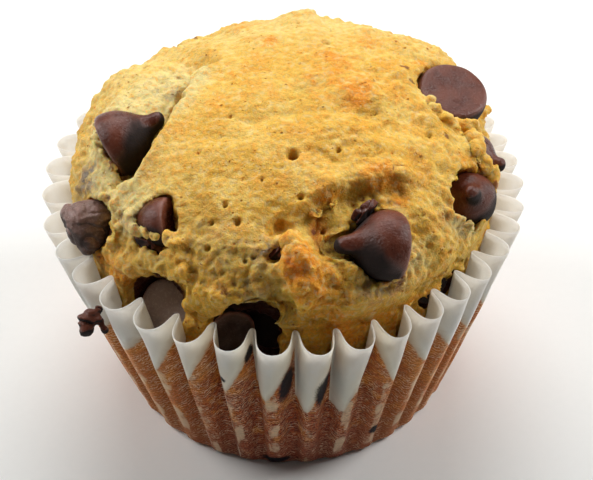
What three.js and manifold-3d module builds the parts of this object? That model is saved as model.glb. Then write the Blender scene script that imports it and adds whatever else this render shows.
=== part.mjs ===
// Chocolate chip muffin in its fluted paper case.
//
// Frame: millimetres, +Z up, the origin at the centre of the case's flat underside, the front of the
// muffin towards -Y. Azimuths are in degrees, 0 at the front and growing towards +X.
//
// The cake is one solid: a fluted plug that fills the case and a lumpy dome that rises over the rim.
// Each chocolate chip, shard and chunk is a solid of its own and sits in a socket cut into the cake.

import * as THREE from "three";
import { mergeVertices } from "three/addons/utils/BufferGeometryUtils.js";
import Module from "manifold-3d";

const wasm = await Module();
wasm.setup();

// ---- driving dimensions -------------------------------------------------------------------------

const fitGap = 0.3; // air left between two solids that touch

// paper case
const caseHeight = 33.3;
const footRadius = 24.6; // the flat underside, inside the rounded corner
const cornerHeight = 1.6;
const cornerRadius = 25.7; // outer folds where the wall begins
const cornerPleat = 0.5; // depth of the folds where the wall begins
const rimOuterRadius = 34.35; // outer folds at the rim
const rimInnerRadius = 30.2; // inner folds at the rim
const fluteCount = 38;
const firstFold = 1.7; // azimuth of the inner fold nearest the front
const paperWall = 0.5; // measured radially; the slanting folds make it thinner across
const wallGap = 0.85; // cake to paper, measured radially for the same reason
const wallLevels = [0.36, 0.7, 1]; // share of the height at each ring of the wall
const scallop = [0, 0.74, 1, 0.74]; // how far out the wall lies, from one inner fold to the next

// cake
const domeCentreZ = caseHeight;
const domeRadius = 30.2;
const domeRise = 16;
const domeFullness = 2.25; // 2 is an ellipsoid, more is squarer in the shoulder
const domeStartZ = caseHeight + 0.5;
const domeColumns = 80;
const domeRings = 16;
const fluteFillHeight = 19; // below this the batter fills the folds to their outer edge
const crags = [
  { size: 6.2, height: 0.65, seed: 3 },
  { size: 3.1, height: 0.35, seed: 11 },
];

// chocolate
const chipSides = 10;
const hollowFlare = 1; // how much wider a hollow in front of a chip grows towards its mouth
const standardChip = { diameter: 10, height: 8.4 };
const smallChip = { diameter: 7, height: 6.4 };

const radians = THREE.MathUtils.degToRad;
const vec = (x, y, z) => new THREE.Vector3(x, y, z);
const mix = THREE.MathUtils.lerp;
const clamp = THREE.MathUtils.clamp;
const bell = (distance, width) => Math.exp(-0.5 * (distance / width) ** 2);

// ---- solids -------------------------------------------------------------------------------------

// A closed geometry as a solid. Triangles that collapse where a lathe meets its axis are left out.
function solidOf(geometry) {
  const bare = geometry.clone();
  bare.deleteAttribute("normal");
  bare.deleteAttribute("uv");
  const merged = mergeVertices(bare, 1e-4);
  const corners = merged.index.array;
  const kept = [];
  for (let i = 0; i < corners.length; i += 3) {
    const [a, b, c] = corners.slice(i, i + 3);
    if (a !== b && b !== c && c !== a) kept.push(a, b, c);
  }
  const vertProperties = new Float32Array(merged.attributes.position.array);
  return new wasm.Manifold(new wasm.Mesh({ numProp: 3, vertProperties, triVerts: new Uint32Array(kept) }));
}

function geometryOf(solid) {
  const mesh = solid.getMesh();
  const geometry = new THREE.BufferGeometry();
  geometry.setAttribute("position", new THREE.BufferAttribute(mesh.vertProperties, 3));
  geometry.setIndex(new THREE.BufferAttribute(mesh.triVerts, 1));
  geometry.computeVertexNormals();
  return geometry;
}

// Closed skin over a stack of rings, from the centre point under the first to the one at the last.
function loft(rings, firstPoint, lastPoint) {
  const points = [firstPoint, ...rings.flat(), lastPoint];
  const count = rings[0].length;
  const last = points.length - 1;
  const corner = (ring, i) => 1 + ring * count + (i % count);
  const triangles = [];
  for (let i = 0; i < count; i++) {
    triangles.push(0, corner(0, i + 1), corner(0, i));
    for (let ring = 0; ring + 1 < rings.length; ring++) {
      const [a, b] = [corner(ring, i), corner(ring, i + 1)];
      const [c, d] = [corner(ring + 1, i), corner(ring + 1, i + 1)];
      triangles.push(a, b, d, a, d, c);
    }
    triangles.push(last, corner(rings.length - 1, i), corner(rings.length - 1, i + 1));
  }
  return new THREE.BufferGeometry().setFromPoints(points).setIndex(triangles);
}

// The point at a radius, azimuth and height; azimuth 0 lies towards -Y.
function polar(radius, azimuth, z) {
  return vec(radius * Math.sin(azimuth), -radius * Math.cos(azimuth), z);
}

// Turns a geometry's own axis to a direction and moves its origin to a point.
function placement(at, from, direction) {
  const turn = new THREE.Quaternion().setFromUnitVectors(from, direction.clone().normalize());
  return new THREE.Matrix4().compose(at, turn, vec(1, 1, 1));
}

// ---- paper case ---------------------------------------------------------------------------------

// The folds drift a little round the case, as pleats pressed by hand do.
function foldAzimuth(k) {
  const even = radians(firstFold + (360 / fluteCount) * k);
  return even + radians(1.6 * Math.sin(even) - 5.6 * (1 - Math.cos(even)));
}

// The rim is pushed out of round on the left and by one wide flute right of the front.
function rimBulge(azimuth) {
  const offset = Math.atan2(Math.sin(azimuth - radians(16)), Math.cos(azimuth - radians(16)));
  return 0.5 * Math.cos(azimuth + radians(100)) + 0.6 * bell(offset, radians(9));
}

// One entry for each sample round the case: its azimuth and how far out the fold lies, 0 to 1.
const columns = [];
for (let k = 0; k < fluteCount; k++) {
  scallop.forEach((out, j) => {
    const azimuth = mix(foldAzimuth(k), foldAzimuth(k + 1), j / scallop.length);
    columns.push({ azimuth, out });
  });
}

// Outside radius of the paper in a column at a share of the height; inner and outer folds part upwards.
function paperRadius(column, level) {
  const cornerLevel = cornerHeight / caseHeight;
  const rise = clamp((level - cornerLevel) / (1 - cornerLevel), 0, 1);
  const inner = mix(cornerRadius - cornerPleat, rimInnerRadius, rise);
  const outer = mix(cornerRadius, rimOuterRadius, rise ** 0.95);
  return mix(inner, outer, column.out) + rise * rimBulge(column.azimuth);
}

const paperLevels = [cornerHeight / caseHeight, ...wallLevels];

function paperRing(level, inset) {
  return columns.map((c) => polar(paperRadius(c, level) - inset, c.azimuth, level * caseHeight));
}

function caseGeometry() {
  const floorZ = paperWall;
  const foot = (inset, z) => columns.map((c) => polar(footRadius - inset, c.azimuth, z));
  const outside = paperLevels.map((level) => paperRing(level, 0));
  const inside = paperLevels.map((level) => paperRing(level, paperWall)).reverse();
  const rings = [foot(0, 0), ...outside, ...inside, foot(0.3, floorZ)];
  return loft(rings, vec(0, 0, 0), vec(0, 0, floorZ));
}

// ---- cake ---------------------------------------------------------------------------------------

// The batter fills the folds low down and draws away from their outer edges higher up.
function cakeRadius(column, level) {
  const free = paperRadius(column, level) - paperWall - wallGap;
  const innerFold = paperRadius({ ...column, out: 0 }, level) - paperWall - wallGap;
  const above = clamp((level * caseHeight - fluteFillHeight) / (caseHeight - fluteFillHeight), 0, 1);
  return Math.min(free, mix(free, innerFold, above));
}

function plugGeometry() {
  const bottomZ = paperWall + fitGap;
  const sole = columns.map((c) => polar(footRadius - 1.1, c.azimuth, bottomZ));
  const wall = paperLevels.map((level) =>
    columns.map((c) => polar(cakeRadius(c, level), c.azimuth, level * caseHeight)),
  );
  const neck = columns.map((c) => polar(cakeRadius({ ...c, out: 0 }, 1), c.azimuth, caseHeight + 2));
  return loft([sole, ...wall, neck], vec(0, 0, bottomZ), vec(0, 0, caseHeight + 2));
}

// Lumps and hollows of the dome: where, how wide (the bell's sigma) and how high, all in mm.
const lumps = [
  { at: vec(-25, 10.5, 41), width: 6, height: 1.3 }, // left shoulder
  { at: vec(21, 17, 43), width: 5, height: 2.1 }, // right shoulder
  { at: vec(-11, 20, 45), width: 8, height: -0.9 }, // flatter top behind on the left
  { at: vec(27, -2, 41), width: 4, height: -1.2 }, // dent in the right side
  { at: vec(2.5, 23.5, 44), width: 2.4, height: 1.6 }, // peak at the back
  { at: vec(1.8, -26, 41.5), width: 2.6, height: 2.2 }, // toasted peak at the front
  { at: vec(-0.7, -22.5, 44.8), width: 2.2, height: -1.2 }, // hollow behind it
  { at: vec(9, -20.5, 45), width: 3.2, height: -1.1 }, // trough above the front chip
  { at: vec(11, -14, 47), width: 3.4, height: 0.7 }, // lip over the trough
  { at: vec(23, -9, 43), width: 5, height: 0.5 }, // right lobe
  { at: vec(9.5, 4, 48.5), width: 3.5, height: 0.8 }, // toasted ridge on the crown
  { at: vec(-9, -27.5, 38.5), width: 4, height: 0.4 }, // front left swell
  { at: vec(17, -24, 38), width: 4, height: 0.5 }, // front right swell
  { at: vec(-6, 27, 40), width: 5, height: 0.9 }, // swells round the back
  { at: vec(14, 26, 38), width: 4, height: 0.6 },
  { at: vec(-20, 21, 39), width: 5, height: 0.5 },
];

// The crown broke away from the left side: beyond this line the crust lies lower.
const crack = [
  vec(-8, 11, 48),
  vec(-12, 6, 48),
  vec(-14.5, -1, 47.8),
  vec(-17.5, -8.5, 46.3),
  vec(-21.5, -13, 43.5),
];
const crackDrop = 1.7;
const crackReach = 7; // distance over which the shelf climbs back

// How far a point lies left of the crack in plan, and how near its ends it is (0 beyond, 1 within).
function crackShelf(p) {
  let best = { distance: Infinity, side: 0, along: 0 };
  for (let i = 0; i + 1 < crack.length; i++) {
    const edge = crack[i + 1].clone().sub(crack[i]);
    const offset = p.clone().sub(crack[i]);
    const share = clamp(offset.dot(edge) / edge.lengthSq(), 0, 1);
    const distance = offset.addScaledVector(edge, -share).length();
    if (distance >= best.distance) continue;
    best = { distance, side: Math.sign(edge.x * offset.y - edge.y * offset.x), along: i + share };
  }
  const left = -best.side * best.distance;
  if (left <= 0) return 0;
  const ends = clamp(best.along / 0.8, 0, 1) * clamp((crack.length - 1 - best.along) / 0.8, 0, 1);
  return ends * Math.min(1, left / 1.2) * Math.exp(-Math.max(0, left - 1.2) / crackReach);
}

// Value noise between -1 and 1 on a lattice one unit wide, the same for the same seed.
function noise(p, seed) {
  const cell = p.clone().floor();
  const inside = p.clone().sub(cell);
  let sum = 0;
  for (let corner = 0; corner < 8; corner++) {
    const step = [corner & 1, (corner >> 1) & 1, corner >> 2];
    const weight = step.reduce((product, s, axis) => {
      const t = THREE.MathUtils.smoothstep(inside.getComponent(axis), 0, 1);
      return product * (s ? t : 1 - t);
    }, 1);
    const [x, y, z] = step.map((s, axis) => cell.getComponent(axis) + s);
    const wild = Math.sin(x * 127.1 + y * 311.7 + z * 74.7 + seed * 19.3) * 43758.5453;
    sum += weight * (wild - Math.floor(wild));
  }
  return 2 * sum - 1;
}

function domePoint(azimuth, tilt) {
  const side = Math.sin(tilt) ** (2 / domeFullness) * domeRadius;
  const up = Math.cos(tilt) ** (2 / domeFullness) * domeRise;
  const base = polar(side, azimuth, domeCentreZ + up);
  const outward = vec(base.x / domeRadius ** 2, base.y / domeRadius ** 2, up / domeRise ** 2).normalize();
  let height = -crackDrop * crackShelf(base);
  for (const lump of lumps) height += lump.height * bell(base.distanceTo(lump.at), lump.width);
  for (const { size, height: rise, seed } of crags) {
    height += rise * noise(base.clone().divideScalar(size), seed);
  }
  const held = clamp((base.z - domeStartZ) / 4, 0, 1); // the relief dies away at the rim
  return base.addScaledVector(outward, height * held);
}

function domeGeometry() {
  const lowestTilt = Math.acos(((domeStartZ - domeCentreZ) / domeRise) ** (domeFullness / 2));
  const rings = [];
  for (let ring = 0; ring < domeRings; ring++) {
    const tilt = lowestTilt * (1 - ring / domeRings);
    const turn = (i) => radians((360 * i) / domeColumns);
    rings.push(Array.from({ length: domeColumns }, (_, i) => domePoint(turn(i), tilt)));
  }
  return loft(rings, vec(0, 0, domeStartZ), domePoint(0, 0));
}

// Hollows that open towards the chocolate lying in them: outward is the way they open.
const pockets = [
  { at: vec(-16.6, -25.2, 34.0), outward: vec(-0.5, -0.85, 0.15), size: [8.8, 9.4, 6.8] }, // left of the front
  { at: vec(-5.4, -28.4, 32.6), outward: vec(-0.16, -0.98, 0.1), size: [10.4, 9, 8.4] }, // at the front
  { at: vec(-17.9, -21.6, 40.9), outward: vec(-0.5, -0.6, 0.6), size: [5, 2.4, 3] }, // slot over the left one
  { at: vec(0, -23, 44.6), outward: vec(0, -0.6, 0.8), size: [5, 3, 3] }, // behind the toasted peak
  { at: vec(5.2, -24.6, 43), outward: vec(0.1, -0.75, 0.65), size: [7.5, 6, 4] }, // at the front chip's tip
];

function pocketGeometry({ at, outward, size }) {
  const [width, height, depth] = size;
  const hollow = new THREE.IcosahedronGeometry(0.5, 1).scale(width, depth, height);
  return hollow.applyMatrix4(placement(at, vec(0, 1, 0), outward));
}

// ---- chocolate ----------------------------------------------------------------------------------

// Drop-shaped chip standing on its flat base with its tip along +Y, grown all round by a margin.
function chipGeometry({ diameter, height }, margin = 0) {
  const r = diameter / 2;
  const outline = [
    [0.88, 0],
    [1, 0.12],
    [0.97, 0.3],
    [0.8, 0.49],
    [0.52, 0.65],
    [0.3, 0.79],
    [0.21, 0.94],
  ].map(([across, up]) => new THREE.Vector2(across * r + margin, up * height - margin * (1 - 2 * up)));
  const first = new THREE.Vector2(0, -margin);
  const last = new THREE.Vector2(0, height + margin);
  return new THREE.LatheGeometry([first, ...outline, last], chipSides);
}

// Hollow kept clear in front of a chip's flat base; it lies on the other side of the base from the tip.
function hollowGeometry({ diameter, open }) {
  const near = diameter / 2 + fitGap;
  return new THREE.CylinderGeometry(near, near + hollowFlare, open, chipSides).translate(0, -open / 2, 0);
}

// Broken or melted chocolate: a pebble with uneven sides, grown all round by a margin.
function shardGeometry([length, width, height], seed, margin = 0) {
  const pebble = new THREE.IcosahedronGeometry(1, 1);
  const position = pebble.getAttribute("position");
  for (let i = 0; i < position.count; i++) {
    const p = new THREE.Vector3().fromBufferAttribute(position, i);
    const uneven = 1 + 0.16 * Math.sin(4.1 * p.x + seed) + 0.14 * Math.sin(5.3 * p.y - 2 * p.z + seed * 1.7);
    const grown = vec(p.x * length, p.y * width, p.z * height).multiplyScalar(uneven / 2);
    position.setXYZ(i, ...grown.addScaledVector(p, margin).toArray());
  }
  return pebble;
}

// at is the middle of a chip's flat base, or of a shard; tip is the way a chip's tip points, and a
// shard's long side; open is how far the cake is hollowed out in front of the base.
const chips = [
  { name: "chip_flat_right", at: vec(23.6, 5.4, 44.6), tip: vec(-0.15, 0.19, -0.97), diameter: 10.2, open: 3 },
  { name: "chip_right", at: vec(24.5, -9.9, 37.3), tip: vec(0.04, -0.63, 0.77), diameter: 7.8, height: 7 },
  { name: "chip_far_right", at: vec(24.8, -3.3, 38.9), tip: vec(0.84, -0.5, 0.22), diameter: 8, height: 6 },
  { name: "chip_front_right", at: vec(14, -22.9, 41), tip: vec(-0.93, -0.22, 0.3), diameter: 9.4 },
  { name: "chip_upper_left", at: vec(-23.9, -4.8, 42.9), tip: vec(0.89, 0.26, 0.37), diameter: 9.4, height: 8.6 },
  { name: "chip_left", at: vec(-14.7, -18.4, 42.3), tip: vec(-0.93, 0.25, -0.28), diameter: 6.8, height: 6.8 },
  { name: "chip_low_left", at: vec(-16.4, -21.2, 28.6), tip: vec(0.5, 0.75, -0.4), diameter: 8.2, open: 8 },
  { name: "chip_front_dark", at: vec(-7.5, -25.4, 27.6), tip: vec(-0.34, 0.9, -0.28), ...smallChip, open: 7 },
  { name: "chip_front_deep", at: vec(-3.1, -23.6, 27), tip: vec(0.5, 0.84, -0.2), ...smallChip, open: 9 },
  { name: "chip_rim_right", at: vec(19.6, -19.6, 31.6), tip: vec(-0.7, 0.7, -0.1), diameter: 7.4, height: 6.6 },
  { name: "chip_back_left", at: vec(-16.3, 24.1, 37.5), tip: vec(0.5, -0.75, -0.44), diameter: 8.2 },
  { name: "chip_back_middle", at: vec(-3.2, 28.9, 37.6), tip: vec(0.2, -0.88, -0.42), diameter: 8.2 },
  { name: "chip_back_inner", at: vec(8.6, 27.7, 37.5), tip: vec(-0.1, -0.92, -0.38), diameter: 8 },
  { name: "chip_back_right", at: vec(17.6, 22.5, 37.5), tip: vec(-0.5, -0.74, -0.44), diameter: 8.2 },
];
const shards = [
  { name: "chunk_left", at: vec(-26.6, -13.7, 36.8), tip: vec(0.1, 0.5, 1), size: [7.4, 5.2, 6.2], seed: 2 },
  { name: "shard_slot", at: vec(-17.5, -20.5, 39.9), tip: vec(1, -0.4, -0.4), size: [4.6, 2.4, 2.6], seed: 1 },
  { name: "shard_right", at: vec(9.9, -20, 44.2), tip: vec(0.68, 0.66, 0.17), size: [5, 1.7, 2.6], seed: 5 },
  { name: "shard_front", at: vec(-0.7, -24.7, 42.4), tip: vec(0.7, 0.47, 0.39), size: [4.2, 1.8, 2.6], seed: 3 },
  { name: "chunk_outside", at: vec(-26.1, -23.7, 28.6), tip: vec(-0.4, 0.5, 1), size: [5.8, 5.4, 2.6], seed: 7 },
];

const chocolates = [
  ...chips.map((chip) => {
    const size = { ...standardChip, ...chip };
    const place = placement(chip.at, vec(0, 1, 0), chip.tip);
    return { name: chip.name, place, shape: (margin) => chipGeometry(size, margin), hollow: size };
  }),
  ...shards.map((shard) => {
    const place = placement(shard.at, vec(1, 0, 0), shard.tip);
    return { name: shard.name, place, shape: (margin) => shardGeometry(shard.size, shard.seed, margin) };
  }),
];

// ---- assembly -----------------------------------------------------------------------------------

const crust = new THREE.MeshStandardMaterial({ name: "crumb", color: 0xd9a74e, roughness: 0.85 });
const paper = new THREE.MeshStandardMaterial({ name: "paper", color: 0xe9e4dc, roughness: 0.6 });
const chocolate = new THREE.MeshStandardMaterial({ name: "chocolate", color: 0x3a211c, roughness: 0.4 });

const muffin = new THREE.Group();

function addMesh(name, geometry, material) {
  const mesh = new THREE.Mesh(geometry, material);
  mesh.name = name;
  muffin.add(mesh);
  return mesh;
}

const caseSolid = solidOf(caseGeometry());
addMesh("paper_case", geometryOf(caseSolid), paper);

// Chocolates cut each other back where they crowd, in the order they are listed.
let taken = null;
let cakeSolid = solidOf(plugGeometry()).add(solidOf(domeGeometry()));
for (const pocket of pockets) cakeSolid = cakeSolid.subtract(solidOf(pocketGeometry(pocket)));
for (const { name, place, shape, hollow } of chocolates) {
  if (hollow?.open) cakeSolid = cakeSolid.subtract(solidOf(hollowGeometry(hollow).applyMatrix4(place)));
  let solid = solidOf(shape(0).applyMatrix4(place));
  const socket = solidOf(shape(fitGap).applyMatrix4(place));
  if (taken) solid = solid.subtract(taken);
  taken = taken ? taken.add(socket) : socket;
  cakeSolid = cakeSolid.subtract(socket);
  addMesh(name, geometryOf(solid), chocolate);
}
const loose = cakeSolid.decompose().sort((a, b) => b.volume() - a.volume());
addMesh("cake", geometryOf(loose[0]), crust); // crumbs that a socket cuts off are dropped

export default muffin;
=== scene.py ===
# Chocolate chip muffin in a fluted paper case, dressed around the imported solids.
# Shapes are worked out in millimetres, front towards -Y, and scaled to metres when they are placed.
import math

import bmesh
import bpy
from mathutils import Matrix, Vector, noise
from mathutils.bvhtree import BVHTree


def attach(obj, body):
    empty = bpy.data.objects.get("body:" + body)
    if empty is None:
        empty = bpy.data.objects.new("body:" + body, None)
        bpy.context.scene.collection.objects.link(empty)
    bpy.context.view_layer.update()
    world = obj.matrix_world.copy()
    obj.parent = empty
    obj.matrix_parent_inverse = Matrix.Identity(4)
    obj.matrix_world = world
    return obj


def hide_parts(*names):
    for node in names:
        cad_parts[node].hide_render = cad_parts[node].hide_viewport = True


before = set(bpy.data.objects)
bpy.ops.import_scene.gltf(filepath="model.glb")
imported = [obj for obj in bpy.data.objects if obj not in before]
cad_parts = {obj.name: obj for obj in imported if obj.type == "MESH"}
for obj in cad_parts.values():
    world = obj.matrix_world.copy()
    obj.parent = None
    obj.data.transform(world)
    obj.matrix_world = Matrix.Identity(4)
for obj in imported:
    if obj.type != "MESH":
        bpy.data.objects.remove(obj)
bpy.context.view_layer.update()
scene = bpy.context.scene
metre = 0.001  # one millimetre


# small helpers

def mix(a, b, share):
    return a + (b - a) * share


def smooth(low, high, x):
    t = min(1.0, max(0.0, (x - low) / (high - low)))
    return t * t * (3 - 2 * t)


def bell(distance, width):
    return math.exp(-0.5 * (distance / width) ** 2)


def polar(radius, azimuth, z):
    return Vector((radius * math.sin(azimuth), -radius * math.cos(azimuth), z))


def azimuthOf(p):
    return math.atan2(p.x, -p.y)


def wobble(p, size, seed):  # soft noise, about -1 to 1, with lumps of one size
    return noise.noise(p / size + Vector((seed * 7.3, -seed * 3.1, seed * 5.7)))


def turnedTo(direction, start=Vector((0, 0, 1))):
    return start.rotation_difference(Vector(direction).normalized()).to_matrix().to_4x4()


def meshFrom(name, bm):
    mesh = bpy.data.meshes.new(name)
    bm.to_mesh(mesh)
    bm.free()
    return mesh


def addObject(name, data):
    piece = bpy.data.objects.new(name, data)
    scene.collection.objects.link(piece)
    return piece


def place(name, bm, material):  # millimetres in, an object in metres out
    bmesh.ops.transform(bm, matrix=Matrix.Scale(metre, 4), verts=bm.verts)
    return placeMesh(name, meshFrom(name, bm), material)


def placeMesh(name, mesh, material):
    mesh.polygons.foreach_set("use_smooth", [True] * len(mesh.polygons))
    mesh.materials.append(material)
    return addObject(name, mesh)


def appliedMesh(piece):  # the piece's mesh with its modifiers applied
    graph = bpy.context.evaluated_depsgraph_get()
    return bpy.data.meshes.new_from_object(piece.evaluated_get(graph))


def remeshed(piece, voxel):  # the same form as one skin of small even faces
    even = piece.modifiers.new("even", "REMESH")
    even.mode = "VOXEL"
    even.voxel_size = voxel
    mesh = appliedMesh(piece)
    bpy.data.objects.remove(piece)
    return mesh


def keepHull(bm):
    bmesh.ops.convex_hull(bm, input=bm.verts)
    bmesh.ops.delete(bm, geom=[v for v in bm.verts if not v.link_faces], context="VERTS")


def nextRow(bm, edges, pointFor):  # a row of faces grown from the edges, which gives its own new edges
    grown = bmesh.ops.extrude_edge_only(bm, edges=edges)["geom"]
    for vertex in grown:
        if isinstance(vertex, bmesh.types.BMVert):
            vertex.co = pointFor(vertex)
    return [e for e in grown if isinstance(e, bmesh.types.BMEdge)]


# material helpers

def startMaterial(name):
    material = bpy.data.materials.new(name)
    material.use_nodes = True
    tree = material.node_tree
    coords = tree.nodes.new("ShaderNodeTexCoord")
    inMillimetres = tree.nodes.new("ShaderNodeMapping")
    inMillimetres.inputs["Scale"].default_value = (1000, 1000, 1000)
    tree.links.new(coords.outputs["Object"], inMillimetres.inputs["Vector"])
    return material, tree, tree.nodes["Principled BSDF"], inMillimetres.outputs["Vector"]


def noiseNode(tree, coords, size, detail=3.0, roughness=0.5, distortion=0.0):
    node = tree.nodes.new("ShaderNodeTexNoise")
    node.inputs["Scale"].default_value = 1 / size
    node.inputs["Detail"].default_value = detail
    node.inputs["Roughness"].default_value = roughness
    node.inputs["Distortion"].default_value = distortion
    tree.links.new(coords, node.inputs["Vector"])
    return node.outputs["Fac"]


def cellNode(tree, coords, size):
    node = tree.nodes.new("ShaderNodeTexVoronoi")
    node.inputs["Scale"].default_value = 1 / size
    tree.links.new(coords, node.inputs["Vector"])
    return node.outputs["Distance"]


def stretchNode(tree, coords, scale, turn=(0, 0, 0)):
    node = tree.nodes.new("ShaderNodeMapping")
    node.inputs["Scale"].default_value = scale
    node.inputs["Rotation"].default_value = turn
    tree.links.new(coords, node.inputs["Vector"])
    return node.outputs["Vector"]


def fadeNode(tree, value, low, high, start=0.0, end=1.0):  # smooth step from start to end
    node = tree.nodes.new("ShaderNodeMapRange")
    node.interpolation_type = "SMOOTHSTEP"
    node.inputs["From Min"].default_value = low
    node.inputs["From Max"].default_value = high
    node.inputs["To Min"].default_value = start
    node.inputs["To Max"].default_value = end
    tree.links.new(value, node.inputs["Value"])
    return node.outputs["Result"]


def linkOrSet(tree, socket, value):
    if isinstance(value, bpy.types.NodeSocket):
        tree.links.new(value, socket)
    elif isinstance(value, tuple):
        socket.default_value = (*value, 1.0)
    else:
        socket.default_value = value


def mathNode(tree, operation, a, b=0):
    node = tree.nodes.new("ShaderNodeMath")
    node.operation = operation
    linkOrSet(tree, node.inputs[0], a)
    linkOrSet(tree, node.inputs[1], b)
    return node.outputs["Value"]


def timesNode(tree, value, *others):
    for other in others:
        value = mathNode(tree, "MULTIPLY", value, other)
    return value


def addNode(tree, value, extra, share=1.0, middle=0.0):  # value + (extra - middle) * share
    if middle:
        extra = mathNode(tree, "SUBTRACT", extra, middle)
    if share != 1:
        extra = mathNode(tree, "MULTIPLY", extra, share)
    return mathNode(tree, "ADD", value, extra)


def blendNode(tree, factor, a, b, blend="MIX"):
    node = tree.nodes.new("ShaderNodeMix")
    node.data_type = "RGBA"
    node.blend_type = blend
    linkOrSet(tree, node.inputs["Factor"], factor)
    linkOrSet(tree, node.inputs["A"], a)
    linkOrSet(tree, node.inputs["B"], b)
    return node.outputs["Result"]


def startSteers(tree, coords, noises, attributes):  # what a layer of colour can follow, by name
    split = tree.nodes.new("ShaderNodeSeparateXYZ")
    tree.links.new(coords, split.inputs["Vector"])
    steers = {"x": split.outputs["X"], "y": split.outputs["Y"], "z": split.outputs["Z"]}
    for name, values in noises.items():
        steers[name] = noiseNode(tree, coords, *values)
    for name in attributes:
        steers[name] = attributeNode(tree, name)
    return steers


def layersNode(tree, colour, steers, look, layers):
    # each layer: what it follows, from where to where (or nothing to follow all of it), strength and colour
    for follows, *limits, strength, over in layers:
        if limits:
            factor = fadeNode(tree, steers[follows], *limits, 0, strength)
        else:
            factor = timesNode(tree, steers[follows], strength)
        colour = blendNode(tree, factor, colour, look[over], "MULTIPLY" if over == "glow" else "MIX")
    return colour


def finishMaterial(tree, shader, look, colour, normal):
    tree.links.new(colour, shader.inputs["Base Color"])
    tree.links.new(normal, shader.inputs["Normal"])
    for name, value in look["surface"].items():
        shader.inputs[name].default_value = value


def attributeNode(tree, name):
    node = tree.nodes.new("ShaderNodeAttribute")
    node.attribute_name = name
    return node.outputs["Fac"]


def bumpNode(tree, height, depth, below=None):  # depth in millimetres
    node = tree.nodes.new("ShaderNodeBump")
    node.inputs["Strength"].default_value = 1.0
    node.inputs["Distance"].default_value = depth * metre
    tree.links.new(height, node.inputs["Height"])
    if below is not None:
        tree.links.new(below, node.inputs["Normal"])
    return node.outputs["Normal"]


# camera, floor and light

cameraLook = {
    "place": (0.0, -150.77, 160.64),
    "turn": (47.23, 0.229, -0.752),  # degrees
    "lens": 83.83,
}
studioLook = {
    "floorColour": (0.85, 0.86, 0.84),
    "skyColour": (1.0, 0.99, 0.97),
    "skyStrength": 0.041,
    # place and width in mm, then power in watts
    "lights": {
        "keyLight": ((-10, 300, 400), 380, 1.72),
        "leftLight": ((-370, 90, 300), 240, 1.42),
        "rightLight": ((370, 80, 300), 200, 1.55),
        "frontLight": ((60, -230, 400), 60, 0.03),
    },
}


def addCamera(look):
    camera = addObject("camera", bpy.data.cameras.new("camera"))
    camera.location = Vector(look["place"]) * metre
    camera.rotation_euler = [math.radians(a) for a in look["turn"]]
    camera.data.sensor_width = 36
    camera.data.lens = look["lens"]
    camera.data.clip_start = 0.01
    scene.camera = camera


def addSoftLight(name, at, size, power, target=(0, 0, 25)):
    lamp = addObject(name, bpy.data.lights.new(name, "AREA"))
    lamp.data.shape = "DISK"
    lamp.data.size = size * metre
    lamp.data.energy = power
    lamp.location = Vector(at) * metre
    lamp.rotation_euler = (Vector(target) - Vector(at)).to_track_quat("-Z", "Y").to_euler()


def addFloor(look):
    material, tree, shader, coords = startMaterial("paleFloor")
    grain = noiseNode(tree, coords, 1.2, 4)
    shader.inputs["Roughness"].default_value = 0.8
    shader.inputs["Specular IOR Level"].default_value = 0.2
    pale = tuple(c * 0.97 for c in look["floorColour"])
    tree.links.new(blendNode(tree, grain, look["floorColour"], pale), shader.inputs["Base Color"])
    bm = bmesh.new()
    bmesh.ops.create_grid(bm, x_segments=2, y_segments=2, size=1500)
    place("floor", bm, material)


addCamera(cameraLook)
addFloor(studioLook)
for name, (at, size, power) in studioLook["lights"].items():
    addSoftLight(name, at, size, power)
scene.world = bpy.data.worlds.new("studio")
scene.world.use_nodes = True
sky = scene.world.node_tree.nodes["Background"]
sky.inputs["Color"].default_value = (*studioLook["skyColour"], 1)
sky.inputs["Strength"].default_value = studioLook["skyStrength"]
scene.view_settings.view_transform = "Standard"
print("camera, floor and lights are set")


# paper case

paperLook = {
    "height": 33.3,
    "footRadius": 24.4,
    "cornerRadius": 25.7,
    "cornerHeight": 1.7,
    "cornerPleat": 0.5,
    "rimOuter": 34.35,
    "rimInner": 30.2,
    "folds": 38,
    "firstFold": 1.7,  # degrees
    # half of one fold at the rim, from the tight inner loop to the wide outer one: share of its width
    # and share of its depth
    "foldOutline": [
        (0, 0), (0.035, 0.02), (0.062, 0.075), (0.078, 0.17), (0.095, 0.32), (0.12, 0.50), (0.16, 0.66),
        (0.215, 0.79), (0.29, 0.90), (0.385, 0.97), (0.5, 1.0),
    ],
    "lowPanel": (0.09, 0.37),  # low down a fold is a flat valley and a flat panel with a slope between them
    "lowHeight": 9,  # below this all of the wall is folded so, and above it more and more like the rim
    "lean": 0.42,  # low down the folds lean away from the front
    "wallRows": 30,
    "thickness": 0.13,
    "dryTip": 31.6,  # height where the cake meets the inner folds
    "dryEnd": 22.2,  # height where it meets the outer folds
    "dryDip": {"azimuth": 10, "width": 9, "depth": 7.4},  # it stays dry further down near the front
    "dryLeft": 5.8,  # and on the left and right sides
    "dryRight": 0.8,
    "tongueShift": 0.17,  # how far off the middle of a fold its dry tongue ends
    "tongueWidth": 3.1,
    "flatSide": 2.4,  # slope of the tongue's gentle side
    "steepSide": (8.8, 5.0),  # and of its steep side, at the tip and at the rim
}


def foldAzimuth(k):
    even = math.radians(paperLook["firstFold"] + 360 / paperLook["folds"] * k)
    drift = 1.6 * math.sin(even) - 5.6 * (1 - math.cos(even)) + 0.55 * math.sin(4.7 * k) * (k > 6)
    return even + math.radians(drift)


def turnBetween(a, b):
    return math.degrees(math.atan2(math.sin(a - math.radians(b)), math.cos(a - math.radians(b))))


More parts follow.
